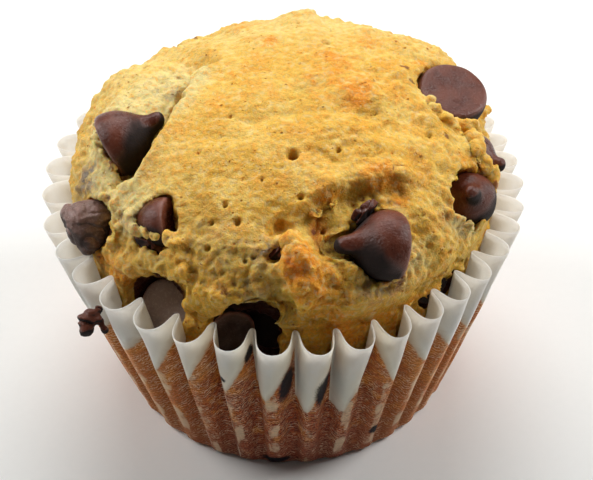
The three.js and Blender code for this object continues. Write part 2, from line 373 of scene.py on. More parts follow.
def foldLean(k, z):
    turn = turnBetween(foldAzimuth(k + 0.5), 0)
    away = (2 * smooth(14, 24, turn) - 1) * smooth(130, 100, abs(turn)) * smooth(34, 20, z)
    return paperLook["lean"] * away + 0.12 * math.sin(2.1 * k + 0.6) + 0.1 * math.sin(5.9 * k)


def rimBulge(azimuth):
    return 0.5 * math.cos(azimuth + math.radians(100)) + 0.6 * bell(turnBetween(azimuth, 16), 9)


def scallop(t, z, inset=0.0):  # how far out the wall lies from one inner fold (0) to the next (1)
    half = max(0.0, min(t, 1 - t) - inset)
    outline = paperLook["foldOutline"]
    high = 1.0
    for (t0, out0), (t1, out1) in zip(outline, outline[1:]):
        if half <= t1:
            high = mix(out0, out1, (half - t0) / (t1 - t0))
            break
    low = smooth(*paperLook["lowPanel"], half)
    return mix(low, high, smooth(paperLook["lowHeight"], paperLook["height"], z))


def wallRise(z):
    low = paperLook["cornerHeight"]
    return min(1.0, max(0.0, (z - low) / (paperLook["height"] - low)))


def foldRadii(azimuth, z):  # radius of the inner and the outer folds
    rise = wallRise(z)
    bulge = rise * rimBulge(azimuth)
    low = paperLook["cornerRadius"]
    inner = mix(low - paperLook["cornerPleat"], paperLook["rimInner"], rise) + bulge
    outer = mix(low, paperLook["rimOuter"], rise ** 0.95) + bulge
    return inner, outer


def foldPhase(azimuth, z):  # place within a fold, 0 to 1, for any azimuth and height
    count = paperLook["folds"]
    k = int((math.degrees(azimuth) % 360) / 360 * count) - 3
    while foldAzimuth(k + 1) < azimuth % (2 * math.pi):
        k += 1
    start, end = foldAzimuth(k), foldAzimuth(k + 1)
    share = (azimuth % (2 * math.pi) - start) / (end - start)
    lean = foldLean(k % count, z)
    if abs(lean) > 0.001:
        share = (1 + lean - math.sqrt((1 + lean) ** 2 - 4 * lean * share)) / (2 * lean)
    return share


def columnAzimuth(k, phase, z):
    return mix(foldAzimuth(k), foldAzimuth(k + 1), phase + foldLean(k, z) * phase * (1 - phase))


def dryHeight(azimuth):
    look, dip = paperLook, paperLook["dryDip"]
    turn = turnBetween(azimuth, 0)
    uneven = 0.5 * math.sin(5 * azimuth + 1) + 0.4 * math.sin(11 * azimuth)
    uneven -= look["dryRight"] * smooth(34, 50, turn) * smooth(90, 70, turn)
    uneven -= look["dryLeft"] * smooth(-46, -62, turn) * smooth(-125, -105, turn)
    return look["dryEnd"] + uneven - dip["depth"] * bell(turnBetween(azimuth, dip["azimuth"]), dip["width"])


def wetness(azimuth, phase, z):  # millimetres past the edge of the dry tongue on each outer fold
    look = paperLook
    end = dryHeight(azimuth)
    share = (z - end) / (look["height"] - end)
    turn = turnBetween(azimuth, 0)
    side = 2 * smooth(15, 21, turn) - 1  # the tongues lean away from the front
    away = (phase - 0.5) * side - look["tongueShift"] * (1 - max(0.0, share))
    steep = mix(*look["steepSide"], max(0.0, share)) * mix(1, 0.5, smooth(22, 38, abs(turn)))
    across = max(0.0, away * look["flatSide"] - 0.3, -away * steep - 0.3)
    if share < 0:
        return across + (end - z) * 0.8
    return across - look["tongueWidth"] * share ** 0.6


def fillRadius(azimuth, z):  # outer radius of the filling, before it meets the paper
    inner, outer = foldRadii(azimuth, z)
    share = smooth(paperLook["dryTip"], dryHeight(azimuth), z) if z < paperLook["dryTip"] else 0
    return mix(inner - 0.35, outer + 0.25, share)


def litCreaseLine(azimuth, phase, z):  # painted highlight: the pale line along the edge of each outer fold on the side the camera sees, partly dry paper over an air gap, 0 to 1
    if phase > 0.5 and turnBetween(azimuth, -80) > 0 and turnBetween(azimuth, 18.5) < 0:
        return 0.0
    if phase < 0.5 and turnBetween(azimuth, 18.5) > 0 and turnBetween(azimuth, 100) < 0:
        return 0.0
    drift = 0.035 * math.sin(0.55 * z + 9 * azimuth)
    away = min(phase, 1 - phase) - mix(0.31, 0.19, smooth(8, 33, z)) - drift
    return bell(away, 0.028) * smooth(8, 22, abs(turnBetween(azimuth, 4)))


def buildPaper(material):
    look = paperLook
    half = [t for t, out in look["foldOutline"]]
    phases = half + [1 - t for t in reversed(half[1:-1])]
    columns = [(k, t) for k in range(look["folds"]) for t in phases]

    bm = bmesh.new()
    bmesh.ops.create_circle(bm, segments=len(columns), radius=look["footRadius"], cap_ends=False)
    column = bm.verts.layers.int.new("column")
    out, touch, crease = [bm.verts.layers.float.new(name) for name in ("out", "touch", "crease")]
    bm.verts.ensure_lookup_table()
    for i, vertex in enumerate(bm.verts):
        vertex[column] = i

    def footPoint(vertex, radius):
        vertex[touch] = 1
        return polar(radius, columnAzimuth(*columns[vertex[column]], 0), 0)

    def cornerPoint(vertex, angle):
        k, phase = columns[vertex[column]]
        azimuth = columnAzimuth(k, phase, 0)
        inner, outer = foldRadii(azimuth, 0)
        vertex[touch] = 1
        vertex[out] = scallop(phase, 0)
        vertex[crease] = litCreaseLine(azimuth, phase, 0)
        across = mix(inner, outer, vertex[out]) - look["footRadius"]
        radius = look["footRadius"] + across * math.sin(angle)
        return polar(radius, azimuth, look["cornerHeight"] * (1 - math.cos(angle)))

    def wallPoint(vertex, z):
        k, phase = columns[vertex[column]]
        azimuth = columnAzimuth(k, phase, z)
        outward = scallop(phase, z)
        rise = wallRise(z)
        inner, outer = foldRadii(azimuth, z)
        handmade = 0.6 * rise * rise * wobble(Vector((k * 1.7, z / 14, 0)), 1, 3)
        rumple = 0.22 * rise * wobble(polar(30, azimuth, z * 0.6), 4.5, 8)
        lower = 0.4 * (outward - 0.5) * smooth(0.9, 1, rise)
        radius = mix(inner, outer, outward) + handmade * (1 - 0.5 * outward) + rumple
        vertex[out] = outward
        vertex[crease] = litCreaseLine(azimuth, phase, z)
        vertex[touch] = wetness(azimuth, phase, z)
        return polar(radius, azimuth, z - lower)

    for vertex in bm.verts:
        vertex.co = footPoint(vertex, look["footRadius"])
    rim = inward = list(bm.edges)
    for angle in (30, 60, 90):  # the rounded corner
        rim = nextRow(bm, rim, lambda vertex, a=math.radians(angle): cornerPoint(vertex, a))
    for row in range(1, look["wallRows"] + 1):
        height = mix(look["cornerHeight"], look["height"], row / look["wallRows"])
        rim = nextRow(bm, rim, lambda vertex, z=height: wallPoint(vertex, z))
    for radius in (18, 9, 2):
        inward = nextRow(bm, inward, lambda vertex, r=radius: footPoint(vertex, r))
    bmesh.ops.contextual_create(bm, geom=inward)
    bmesh.ops.recalc_face_normals(bm, faces=bm.faces)
    case = place("paperCase", bm, material)
    wall = case.modifiers.new("wall", "SOLIDIFY")
    wall.thickness = look["thickness"] * metre
    wall.offset = -1
    wall.use_even_offset = False
    return case


stainLook = {
    "paper": (0.88, 0.84, 0.75),
    "shadowPaper": (0.84, 0.78, 0.67),
    "dampPaper": (0.84, 0.69, 0.49),
    "greasyPaper": (0.60, 0.42, 0.28),
    "brown": (0.46, 0.068, 0.010),
    "darkBrown": (0.075, 0.012, 0.008),
    "rust": (0.64, 0.18, 0.02),
    "tan": (0.74, 0.49, 0.31),
    # painted highlight along the outer fold edges, partly dry paper
    "dryLitCreaseColour": (0.88, 0.68, 0.48),
    "lowBrown": (0.22, 0.052, 0.026),
    # painted light: the stained wall turns paler and redder towards the left and right sides, where the
    # light falls
    "litSideBrown": (0.80, 0.25, 0.07),
    # near black, also used for the two spots of painted shadow
    "chocolate": (0.004, 0.006, 0.010),
    "noises": {  # size in mm, detail, roughness and distortion
        "ragged": (1.3, 3, 0.5, 0.6),
        "curls": (0.36, 4, 0.65, 1.6),  # crumb seen through the paper
        "mottle": (2.4, 4, 0.6, 0.6),
        "drift": (0.9, 4, 0.65),
        "patches": (1.7, 3, 0.6),
        "flecks": (0.2, 3, 0.7, 0.8),
        "fibres": (0.5, 4, 0.6),
        "wrinkles": (1.6, 3, 0.5),
    },
    "layers": [  # over the brown of the stained wall
        ("high", 0.58, 0.80, 0.85, "rust"),
        ("low", 16, 7, 0.75, "lowBrown"),
        ("arcs", -0.1, -0.9, 0.75, "darkBrown"),
        # painted light on the left and right sides of the stained wall
        ("aside", 6, 20, 0.42, "litSideBrown"),
        ("pressed", 1.0, "tan"),
        ("flecks", 0.57, 0.70, 0.35, "tan"),
        ("pockets", 0.65, "tan"),
        # painted highlight along the outer fold edges, partly dry paper over air
        ("dryLitCrease", 0.9, "dryLitCreaseColour"),
    ],
    "surface": {
        "Roughness": 0.6,
        "Specular IOR Level": 0.05,
        "Subsurface Weight": 0.95,
        "Subsurface Radius": (1.0, 0.96, 0.9),
        "Subsurface Scale": 1.3 * metre,
    },
    # where chocolate lies against the paper, and two spots of painted shadow: place, then reach across,
    # inwards and up, in mm
    "spots": [
        ((-0.2, -30.6, 23.2), (1.3, 2.8, 4.7)), ((4.6, -30.2, 22.6), (1.35, 2.8, 4.7)),
        # the first spot on the next row is painted shadow in the valley between two tongues
        ((-5.1, -30.0, 29.4), (0.7, 2.6, 1.5)), ((-8.6, -29.6, 25.2), (0.5, 2.6, 0.8)),
        ((12.4, -24.4, 6.6), (1.1, 3.0, 1.4)), ((-20.6, -22.8, 26.0), (0.9, 0.9, 1.0)),
        ((24.0, 18.0, 12.0), (2.0, 2.0, 1.6)), ((-12.0, 27.5, 17.0), (1.6, 2.4, 2.4)),
        # the last spot on the next row is painted shadow at the foot
        ((-28.0, 7.0, 14.0), (2.4, 1.4, 1.8)), ((-2.0, -25.5, 1.6), (2.4, 1.6, 0.9)),
    ],
}


def paperMaterial(look):
    material, tree, shader, coords = startMaterial("greasedPaper")
    steers = startSteers(tree, coords, look["noises"], ("out", "touch", "crease"))
    out, touch, height, curls, mottle = [steers[name] for name in ("out", "touch", "z", "curls", "mottle")]
    aside = mathNode(tree, "ABSOLUTE", steers["x"])
    arcs = addNode(tree, timesNode(tree, height, 11), out, 12)
    arcs = mathNode(tree, "SINE", addNode(tree, arcs, steers["drift"], 24))
    pressed = timesNode(
        tree, fadeNode(tree, arcs, 0.30, 0.95), fadeNode(tree, height, 4, 22, 0.5, 0.85),
        fadeNode(tree, steers["patches"], 0.38, 0.60, 0.15, 1.0),
    )
    airy = noiseNode(tree, stretchNode(tree, coords, (1, 1, 0.5)), 2.2, 3, 0.5, 0.3)
    # the pale crease line: a painted highlight, partly dry paper
    dryLitCrease = fadeNode(tree, steers["crease"], 0.45, 0.95)
    steers.update({
        "aside": aside,
        "high": addNode(tree, mottle, height, 0.008),
        "low": addNode(tree, height, mottle, 8),
        "arcs": arcs,  # fine arcs pressed in by the pleating, one under the other
        "pressed": pressed,
        "pockets": fadeNode(tree, addNode(tree, out, airy, 0.8), 1.37, 1.50),  # air along the outer folds
        "dryLitCrease": timesNode(tree, dryLitCrease, fadeNode(tree, curls, 0.36, 0.52)),
    })
    stained = blendNode(tree, fadeNode(tree, curls, 0.40, 0.58), look["darkBrown"], look["brown"])
    stained = layersNode(tree, stained, steers, look, look["layers"])

    clean = blendNode(tree, steers["fibres"], look["shadowPaper"], look["paper"])
    greasy = addNode(tree, touch, mottle)
    # the damp tint near the wet edge is real; its fading towards the left and right sides is painted light
    # that keeps the side paper paler
    dampLessOnLitSides = timesNode(tree, fadeNode(tree, greasy, -3.2, -0.8), fadeNode(tree, aside, 12, 22, 0.9, 0.35))
    clean = blendNode(tree, dampLessOnLitSides, clean, look["dampPaper"])
    clean = blendNode(tree, fadeNode(tree, greasy, -0.5, 0.6, 0, 0.8), clean, look["greasyPaper"])
    wet = fadeNode(tree, addNode(tree, touch, steers["ragged"], 0.7, 0.5), -0.16, 0.24)
    colour = blendNode(tree, wet, clean, stained)

    for at, reach in look["spots"]:
        spot = tree.nodes.new("ShaderNodeMapping")
        spot.vector_type = "TEXTURE"
        spot.inputs["Location"].default_value = at
        spot.inputs["Scale"].default_value = reach
        tree.links.new(coords, spot.inputs["Vector"])
        away = tree.nodes.new("ShaderNodeVectorMath")
        away.operation = "LENGTH"
        tree.links.new(spot.outputs["Vector"], away.inputs[0])
        edge = addNode(tree, away.outputs["Value"], curls, 0.9)
        colour = blendNode(tree, fadeNode(tree, edge, 1.15, 1.6, 0.98, 0.0), colour, look["chocolate"])
    normal = bumpNode(tree, curls, 0.03, bumpNode(tree, steers["wrinkles"], 0.10))
    finishMaterial(tree, shader, look, colour, normal)
    return material


paperCase = buildPaper(paperMaterial(stainLook))
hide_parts("paper_case")
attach(paperCase, "root")
print("paper case is folded")


# chocolate

chipLook = {
    "sides": 28,
    "lean": 0.7,
    # share of the radius, share of the height, from the flat base to the tip
    "outline": [
        (0, 0), (0.5, 0), (0.88, 0), (0.97, 0.025), (1, 0.1), (0.99, 0.2), (0.94, 0.33), (0.82, 0.45),
        (0.64, 0.555), (0.46, 0.64), (0.33, 0.72), (0.265, 0.8), (0.25, 0.87), (0.21, 0.94), (0.12, 0.985),
        (0, 1),
    ],
    "edgeHeight": 0.025,  # the row of the outline that is worn and carries a painted highlight
    "worn": 0.12,
    # the way the light comes from, for the painted shade on the faces turned away from it
    "lit": (0.0, 0.28, 0.96),
    "colour": (0.145, 0.036, 0.017),
    "darkColour": (0.085, 0.019, 0.009),
    "paintedShadeColour": (0.010, 0.003, 0.002),  # painted shade on the faces turned away from the light
    # real bloom, also used to paint pieces in shade lighter
    "bloomAndLight": (0.54, 0.42, 0.37),
    "edge": (0.80, 0.42, 0.34),  # the worn rim round the flat base, paler partly from wear and partly as a painted highlight
    "noises": {  # size in mm, detail and roughness
        "cloud": (2.8, 3, 0.55),
        "grain": (0.28, 3, 0.6),
        "dust": (0.35, 4, 0.7),
        "dents": (1.4, 2, 0.5),
    },
    # dust painted lighter, painted shade on the faces turned from the light, and a worn rim with a painted
    # highlight
    "layers": [("bloomedAndLit", 1.0, "bloomAndLight"), ("under", 1.0, "paintedShadeColour"), ("rubbedAndSheen", 1.0, "edge")],
    "gloss": (0.24, 0.38),  # roughness of the glossy and of the dull patches
    "surface": {"Specular IOR Level": 0.36},
}


def sweet(node, at, tip, size, **more):
    return {"node": node, "at": at, "tip": tip, "size": size, **more}


# at is the middle of the flat base, tip the way the tip points, size the width and height in mm; the cake is
# hollowed out by open in front of the base and by clear towards the camera; cover is the share of a piece's
# height that stays under the crumb, dusty and worn go up to 1, dusty also paints a piece lighter and the
# worn rim carries a painted highlight, and lit is the way the light comes from for the painted shade on the
# far faces
chips = [
    sweet("chip_flat_right", (23.6, 5.4, 44.6), (-0.15, 0.19, -0.97), (10.2, 8.4), open=2),
    sweet("chip_right", (24.5, -9.9, 37.3), (0.04, -0.63, 0.77), (7.8, 7), clear=3, lit=(-0.3, -0.2, 0.93)),
    sweet("chip_far_right", (24.8, -3.3, 38.9), (0.84, -0.5, 0.22), (8, 6)),
    sweet(
        "chip_front_right", (14, -22.9, 41), (-0.93, -0.22, 0.3), (9.4, 8.4),
        clear=1.6, lit=(0.72, 0, 0.69),
    ),
    sweet(
        "chip_upper_left", (-23.9, -4.8, 42.9), (0.89, 0.26, 0.37), (9.4, 8.6),
        clear=2, lit=(-0.8, -0.15, 0.58),
    ),
    sweet("chip_left", (-14.7, -18.6, 41.8), (-0.93, 0.25, -0.28), (6.8, 6.8), clear=3, cover=0.44),
    sweet(
        "chip_low_left", (-16.4, -21.2, 28.6), (0.46, 0.69, -0.55), (8.2, 8.4),
        open=8, dusty=0.85, worn=0.3,
    ),
    sweet("chip_front_dark", (-7.5, -25.4, 27.6), (-0.34, 0.9, -0.28), (7, 6.4), open=7, dusty=0.3, worn=1),
    sweet("chip_front_deep", (-3.1, -23.6, 27), (0.5, 0.84, -0.2), (7, 6.4), open=9, worn=0.8),
    sweet("chip_rim_right", (19.6, -19.6, 31.6), (-0.7, 0.7, -0.1), (7.4, 6.6), open=4),
    sweet("chip_back_left", (-16.3, 24.1, 37.5), (0.5, -0.75, -0.44), (8.2, 8.4)),
    sweet("chip_back_middle", (-3.2, 28.9, 37.6), (0.2, -0.88, -0.42), (8.2, 8.4)),
    sweet("chip_back_inner", (8.6, 27.7, 37.5), (-0.1, -0.92, -0.38), (8, 8.4)),
    sweet("chip_back_right", (17.6, 22.5, 37.5), (-0.5, -0.74, -0.44), (8.2, 8.4)),
]
# at is the middle, tip the way the long side points and size the length, width and height in mm
shards = [
    sweet("shard_slot", (-17.5, -20.5, 39.9), (1, -0.4, -0.4), (4.6, 2.4, 2.6), seed=1, clear=2),
    sweet("shard_right", (9.9, -20, 44.2), (0.68, 0.66, 0.17), (5, 1.7, 2.6), seed=5, clear=1),
    sweet("shard_front", (-0.7, -24.7, 42.4), (0.7, 0.47, 0.39), (4.2, 1.8, 2.6), seed=3, clear=1),
]
# broken and half melted lumps, each of several lobes: place and reach along x, y and z
chunks = [
    {"node": "chunk_left", "seed": 2, "clear": 3, "dusty": 0.28, "lobes": [
        ((-27.5, -13.8, 36.9), (1.9, 2.4, 3.0)), ((-26.5, -15.3, 35.2), (1.4, 1.6, 1.7)),
        ((-29.0, -12.6, 38.2), (1.2, 1.4, 1.1)), ((-25.2, -13.0, 37.7), (1.9, 2.0, 1.7)),
        ((-25.0, -14.2, 35.6), (1.4, 1.4, 1.4)), ((-26.0, -12.0, 38.3), (1.7, 1.5, 1.2)),
    ], "angular": True},
    {"node": "chunk_outside", "seed": 7, "lobes": [
        ((-26.6, -24.3, 28.0), (1.0, 0.9, 1.1)), ((-26.9, -23.7, 28.9), (1.0, 0.8, 1.1)),
        ((-25.9, -22.9, 29.5), (1.1, 0.8, 1.0)), ((-25.1, -22.6, 29.9), (0.8, 0.6, 0.8)),
        ((-24.9, -23.5, 28.8), (0.8, 0.6, 0.9)), ((-24.3, -24.1, 27.8), (0.7, 0.6, 0.8)),
        ((-25.7, -23.6, 28.9), (0.8, 0.6, 0.7)),
    ]},
]


def chocolateMaterial(look):
    material, tree, shader, coords = startMaterial("darkChocolate")
    steers = startSteers(tree, coords, look["noises"], ("dusty", "sunk", "worn"))
    cloud, dusty = steers["cloud"], steers["dusty"]
    dust = timesNode(tree, fadeNode(tree, steers["dust"], 0.52, 0.72), addNode(tree, dusty, 0.11))
    # painted shade on the faces turned away from the light, which are also made rougher
    under = fadeNode(tree, addNode(tree, steers["sunk"], cloud, 0.8), 0.55, 1.35)
    steers.update({
        # bloom and dust, which also paint pieces in shade lighter
        "bloomedAndLit": addNode(tree, dust, dusty),
        "under": under,
        # worn rim, partly a painted highlight
        "rubbedAndSheen": timesNode(tree, steers["worn"], fadeNode(tree, cloud, 0.36, 0.50, 0.5, 1.0)),
    })
    colour = blendNode(tree, fadeNode(tree, cloud, 0.35, 0.65), look["darkColour"], look["colour"])
    colour = layersNode(tree, colour, steers, look, look["layers"])
    gloss = fadeNode(tree, cloud, 0.3, 0.7, *look["gloss"])
    tree.links.new(mathNode(tree, "MAXIMUM", gloss, timesNode(tree, under, 0.8)), shader.inputs["Roughness"])
    normal = bumpNode(tree, steers["grain"], 0.11, bumpNode(tree, steers["dents"], 0.12))
    finishMaterial(tree, shader, look, colour, normal)
    return material


def finishChocolate(bm, values):  # marks painted shade on the faces turned away from the light, and the dusty pieces, which are also painted lighter
    sunk = bm.verts.layers.float.new("sunk")
    dusty = bm.verts.layers.float.new("dusty")
    bm.normal_update()
    for vertex in bm.verts:
        facing = vertex.normal.dot(Vector(values.get("lit", chipLook["lit"])))
        # painted shade, less on the dusty pieces
        vertex[sunk] = smooth(0.50, -0.10, facing) * (1 - values.get("dusty", 0))
        # dusty pieces are also painted lighter
        vertex[dusty] = 0.9 * values.get("dusty", 0)


def buildChip(values, material):
    look = chipLook
    diameter, height = values["size"]
    bm = bmesh.new()
    worn = bm.verts.layers.float.new("worn")
    previous = None
    for across, up in look["outline"]:
        vertex = bm.verts.new((across * diameter / 2, 0, up * height))
        # worn rim, partly a painted highlight
        vertex[worn] = values.get("worn", look["worn"]) if up == look["edgeHeight"] else 0.0
        if previous:
            bm.edges.new((previous, vertex))
        previous = vertex
    bmesh.ops.spin(
        bm, geom=bm.verts[:] + bm.edges[:], cent=(0, 0, 0), axis=(0, 0, 1), dvec=(0, 0, 0),
        angle=2 * math.pi, steps=look["sides"], use_merge=True, use_duplicate=False,
    )
    bmesh.ops.remove_doubles(bm, verts=bm.verts, dist=0.001)
    bmesh.ops.recalc_face_normals(bm, faces=bm.faces)
    for vertex in bm.verts:  # the tip leans over a little
        vertex.co.x += look["lean"] * (vertex.co.z / height) ** 3 * math.sin(diameter * 40)
    matrix = Matrix.Translation(values["at"]) @ turnedTo(values["tip"])
    bmesh.ops.transform(bm, matrix=matrix, verts=bm.verts)
    bm.normal_update()
    for vertex in bm.verts:
        vertex.co += vertex.normal * (0.2 * wobble(vertex.co, 2.6, 4) + 0.06 * wobble(vertex.co, 0.9, 5))
    finishChocolate(bm, values)
    piece = place(values["node"].replace("_", "."), bm, material)
    rounding = piece.modifiers.new("rounding", "SUBSURF")
    rounding.levels = rounding.render_levels = 2
    return piece


def facetReach(direction, seed):  # how far a broken lump reaches: flat faces with worn edges
    total = 0.0
    for i in range(11):
        up = 1 - (i + 0.5) / 5.5
        turn = 2.4 * i + seed
        side = math.sqrt(1 - up * up)
        facing = direction.dot(Vector((side * math.cos(turn), side * math.sin(turn), up)))
        total += max(0.0, facing / (0.82 + 0.17 * math.sin(12.9 * i + 4.1 * seed))) ** 14
    return total ** (-1 / 14)


def buildShard(values, material):
    bm = bmesh.new()
    bmesh.ops.create_icosphere(bm, subdivisions=5, radius=1)
    size = Vector(values["size"]) / 2
    seed = values["seed"]
    for vertex in bm.verts:
        direction = vertex.co.normalized()
        p = direction * facetReach(direction, seed) * size
        cleft = 0.5 * smooth(0.16, 0.0, abs(wobble(p, 3.4, seed)))
        vertex.co = p * (1 - cleft / max(2.0, p.length)) + direction * 0.12 * wobble(p, 0.9, seed)
    matrix = Matrix.Translation(values["at"]) @ turnedTo(values["tip"], Vector((1, 0, 0)))
    bmesh.ops.transform(bm, matrix=matrix, verts=bm.verts)
    finishChocolate(bm, values)
    return place(values["node"].replace("_", "."), bm, material)


chunkLook = {
    "voxel": 0.16,
    "smoothing": 3,
    "relief": 1.0,
    "angularRelief": 0.45,
}


def buildChunk(values, material):  # lobes melted into one lump, with creases
    seed = values["seed"]
    bm = bmesh.new()
    for at, reach in values["lobes"]:
        lobe = bmesh.ops.create_icosphere(bm, subdivisions=3, radius=1)["verts"]
        bmesh.ops.transform(bm, matrix=Matrix.Translation(at) @ Matrix.Diagonal((*reach, 1)), verts=lobe)
    if "angular" in values:
        keepHull(bm)
    melted = remeshed(addObject("lobes", meshFrom("lobes", bm)), chunkLook["voxel"])
    bm = bmesh.new()
    bm.from_mesh(melted)
    axes = {"use_axis_x": True, "use_axis_y": True, "use_axis_z": True}
    for i in range(chunkLook["smoothing"]):
        bmesh.ops.smooth_vert(bm, verts=bm.verts, factor=0.5, **axes)
    bm.normal_update()
    depth = chunkLook["angularRelief" if "angular" in values else "relief"]
    for vertex in bm.verts:
        p = vertex.co
        fold = 0.4 * smooth(0.14, 0.0, abs(wobble(p, 2.9, seed)))
        broken = 0.6 * abs(wobble(p, 3.1, seed + 5)) + 0.14 * abs(wobble(p, 1.3, seed + 2))
        vertex.co = p + vertex.normal * (0.07 * wobble(p, 0.6, seed) + depth * (0.25 - broken - fold))
    finishChocolate(bm, values)
    return place(values["node"].replace("_", "."), bm, material)


chocolate = chocolateMaterial(chipLook)
sweets = [buildChip(chip, chocolate) for chip in chips]
sweets += [buildShard(shard, chocolate) for shard in shards]
sweets += [buildChunk(chunk, chocolate) for chunk in chunks]
for values, piece in zip(chips + shards + chunks, sweets):
    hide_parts(values["node"])
    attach(piece, "root")
print("chocolate is in place:", len(sweets), "pieces")


# cake

cakeLook = {
    "rimHeight": 33.3,
    "radius": 30.2,
    "rise": 16,
    "fullness": 2.25,
    "voxel": 0.323,
    # fine crumb above this tilted plane, which is low where the hollows are, a plain fluted foot below
    "cutHeight": 27.4,
    "cutTilt": (-0.042, -0.103),
    "footRows": [22, 17, 11, 5, 2, 0.8],
    "footInset": 0.6,  # how much the foot draws in at its lowest rows
    "paperGap": 0.45,
    # waves and clumps on the crust: height in mm where it is calm, extra height where it is torn, size in mm
    "swell": (0.228, 0.228, 5.4),
    "bump": (0, 0.44, 2.3),
    "clump": (0, 0.30, 2.1),
    "grain": (0.05, 0.36, 1.15),
    "fineGrain": (0.10, 0.22, 0.62),
    "shelfClump": (0, 0.5, 1.25),
    "calmest": 0.2,  # how rugged the crust is where nothing is torn
    "pits": (0.4, 2.9),  # depth and spacing
    "stuckCrumb": 0.4,  # height of the crumb that clings to the chocolate
    "shelfDrop": 2.0,
    "grooveDepth": 1.7,
    "lipHeight": 0.5,
}
# lumps of the dome, and dips with a height below zero: place, width and height in mm
lumps = [
    (-25, 10.5, 41, 6, 1.3), (21, 17, 43, 5, 2.1), (-11, 20, 45, 8, -0.9), (27, -2, 41, 4, -1.2),
    (2.5, 23.5, 44, 2.4, 1.6), (1.8, -26, 41.5, 2.6, 2.2), (-0.7, -22.5, 44.8, 2.2, -1.2),
    (9, -20.5, 45, 3.2, -1.1), (11, -14, 47, 3.4, 0.7), (23, -9, 43, 5, 0.5), (9.5, 4, 48.5, 3.5, 0.8),
    (-9, -27.5, 38.5, 4, 0.4), (17, -24, 38, 4, 0.5), (-6, 27, 40, 5, 0.9), (14, 26, 38, 4, 0.6),
    (-20, 21, 39, 5, 0.5),
]
# the edge of the crack, from the middle to the left
crack = [
    (-8, 8.6, 48.3), (-11.8, 6.3, 48.1), (-13.5, 2.2, 48), (-14.9, -1.7, 47.7), (-16.3, -5.8, 47.1),
    (-18.1, -9.5, 45.9), (-20.2, -12.3, 44.3), (-23.5, -13, 41.7),
]
# hollows with chocolate in them: place, the way they open, then width, height and depth
pockets = [
    ((-16.6, -25.2, 34.0), (-0.5, -0.85, 0.15), (8.8, 9.4, 6.8)),
    ((-5.4, -28.4, 32.6), (-0.16, -0.98, 0.1), (10.4, 9, 8.4)),
    ((-17.9, -21.6, 40.9), (-0.5, -0.6, 0.6), (5, 2.4, 3)),
    ((-1.2, -23.2, 44.5), (0, -0.6, 0.8), (4.4, 3.2, 4.4)),
]
# crumbs that stand up from the crust: place and radius in mm
nuggets = [
    # the knob at the front
    (0.7, -24.9, 44.4, 0.8), (1.4, -26.2, 43.9, 1.1), (2.1, -27.3, 43.1, 1.4), (2.9, -28.1, 42.1, 1.5),
    (2.2, -28.9, 41, 1.6), (3.4, -29.2, 40, 1.4), (1.2, -27.8, 42, 1.3), (1.2, -28.9, 40.2, 1.2),
    (4.1, -28.5, 40.7, 0.8), (-0.6, -28.6, 39.4, 1), (4.9, -28.8, 38.9, 0.7), (2.6, -29.6, 38.4, 1.1),
    (5.3, -26, 41.7, 1.1), (6.5, -26.3, 41.3, 1.1), (7.7, -26.6, 40.8, 1), (8.8, -27, 40, 0.9),
    # against the chips
    (-25.8, -0.9, 43.5, 0.8), (-24.6, -3.8, 44.2, 0.8), (-24.7, -5.4, 43.7, 0.9),
    (-23.2, -8.6, 44, 0.7), (-25.6, -2.2, 44.9, 0.8), (-25.4, -3.9, 45, 0.9), (-24.9, -5.6, 44.8, 0.8),
    (-24.3, -7.2, 44.6, 0.7), (14.5, -25.6, 39.8, 1), (13.5, -26.3, 39.3, 1), (15.3, -24.4, 40.6, 0.8),
    (12.2, -26.9, 38.8, 0.8), (15.6, -22.2, 42.1, 0.7), (15.2, -21.6, 43.5, 0.6),
    (25.4, -1.5, 43.5, 1), (25.6, -3.9, 43.3, 1.1), (26, -5.7, 42.7, 1.2), (26.7, -7, 41.5, 1.1),
    (27.6, -7.7, 39.7, 1), (21.2, -17.2, 41.5, 0.8), (22.5, -17.2, 40.1, 0.9),
    (24.1, -16.5, 38.6, 0.9), (26.2, -14.1, 36.7, 0.9), (21.1, -14.1, 43.5, 0.5),
    (22.2, -12.4, 43.4, 0.5), (19.8, 0.3, 46.6, 0.7), (20.5, -0.9, 46.2, 0.8), (21.7, -2.2, 45.5, 1),
    (22.9, -2.5, 44.7, 1), (24.8, -1.1, 43.3, 0.9), (28.6, 8.1, 38.6, 1.1), (28.1, 6.6, 38, 1),
    (-19.3, -19.7, 41.5, 0.8), (-17.9, -20.5, 41.9, 0.8), (-16.4, -21.2, 42.3, 0.8),
    (-15, -22, 42.4, 0.9), (-14, -22.9, 42.1, 1), (-20.2, -18.5, 41.8, 0.9), (-20.1, -17.5, 42.5, 0.8),
    (-22.8, -18.6, 38.4, 0.9), (-22.2, -17.9, 40.2, 0.8), (-22.8, -15.1, 41.6, 0.7),
    (-24.1, -13.3, 41.3, 0.7),
    # along the torn front and the brow above it
    (-12.8, -25.8, 39.6, 1), (-11, -27.3, 38.1, 1.1), (-8.2, -28.5, 37.6, 0.9), (-6, -29, 37.9, 0.8),
    (-10.1, -28, 34.8, 0.9), (1.5, -29.9, 36.9, 1), (-11.6, -27.2, 35.7, 0.8), (14.4, -14.9, 46, 0.9),
    (12.7, -14.8, 46.6, 0.8), (6.1, -20, 45.8, 0.7), (3.9, -21, 45.5, 0.7),
    # over the chip by the rim
    (18.6, -22, 34.6, 1.2), (20.2, -20.4, 34.4, 1.2), (21.6, -18.8, 34.2, 1.2),
    (19.6, -21.6, 33.2, 1.1), (21.2, -19.8, 33, 1.1), (22.6, -18, 33, 1), (17.2, -23.4, 34, 1.1),
    (18.2, -22.8, 32.8, 1),
    # peaks along the back
    (3.6, 24.4, 44.1, 1.3), (16.3, 17.2, 44.2, 0.9), (20.7, 17.6, 42.4, 0.8), (12.8, 17.2, 45.5, 0.7),
]
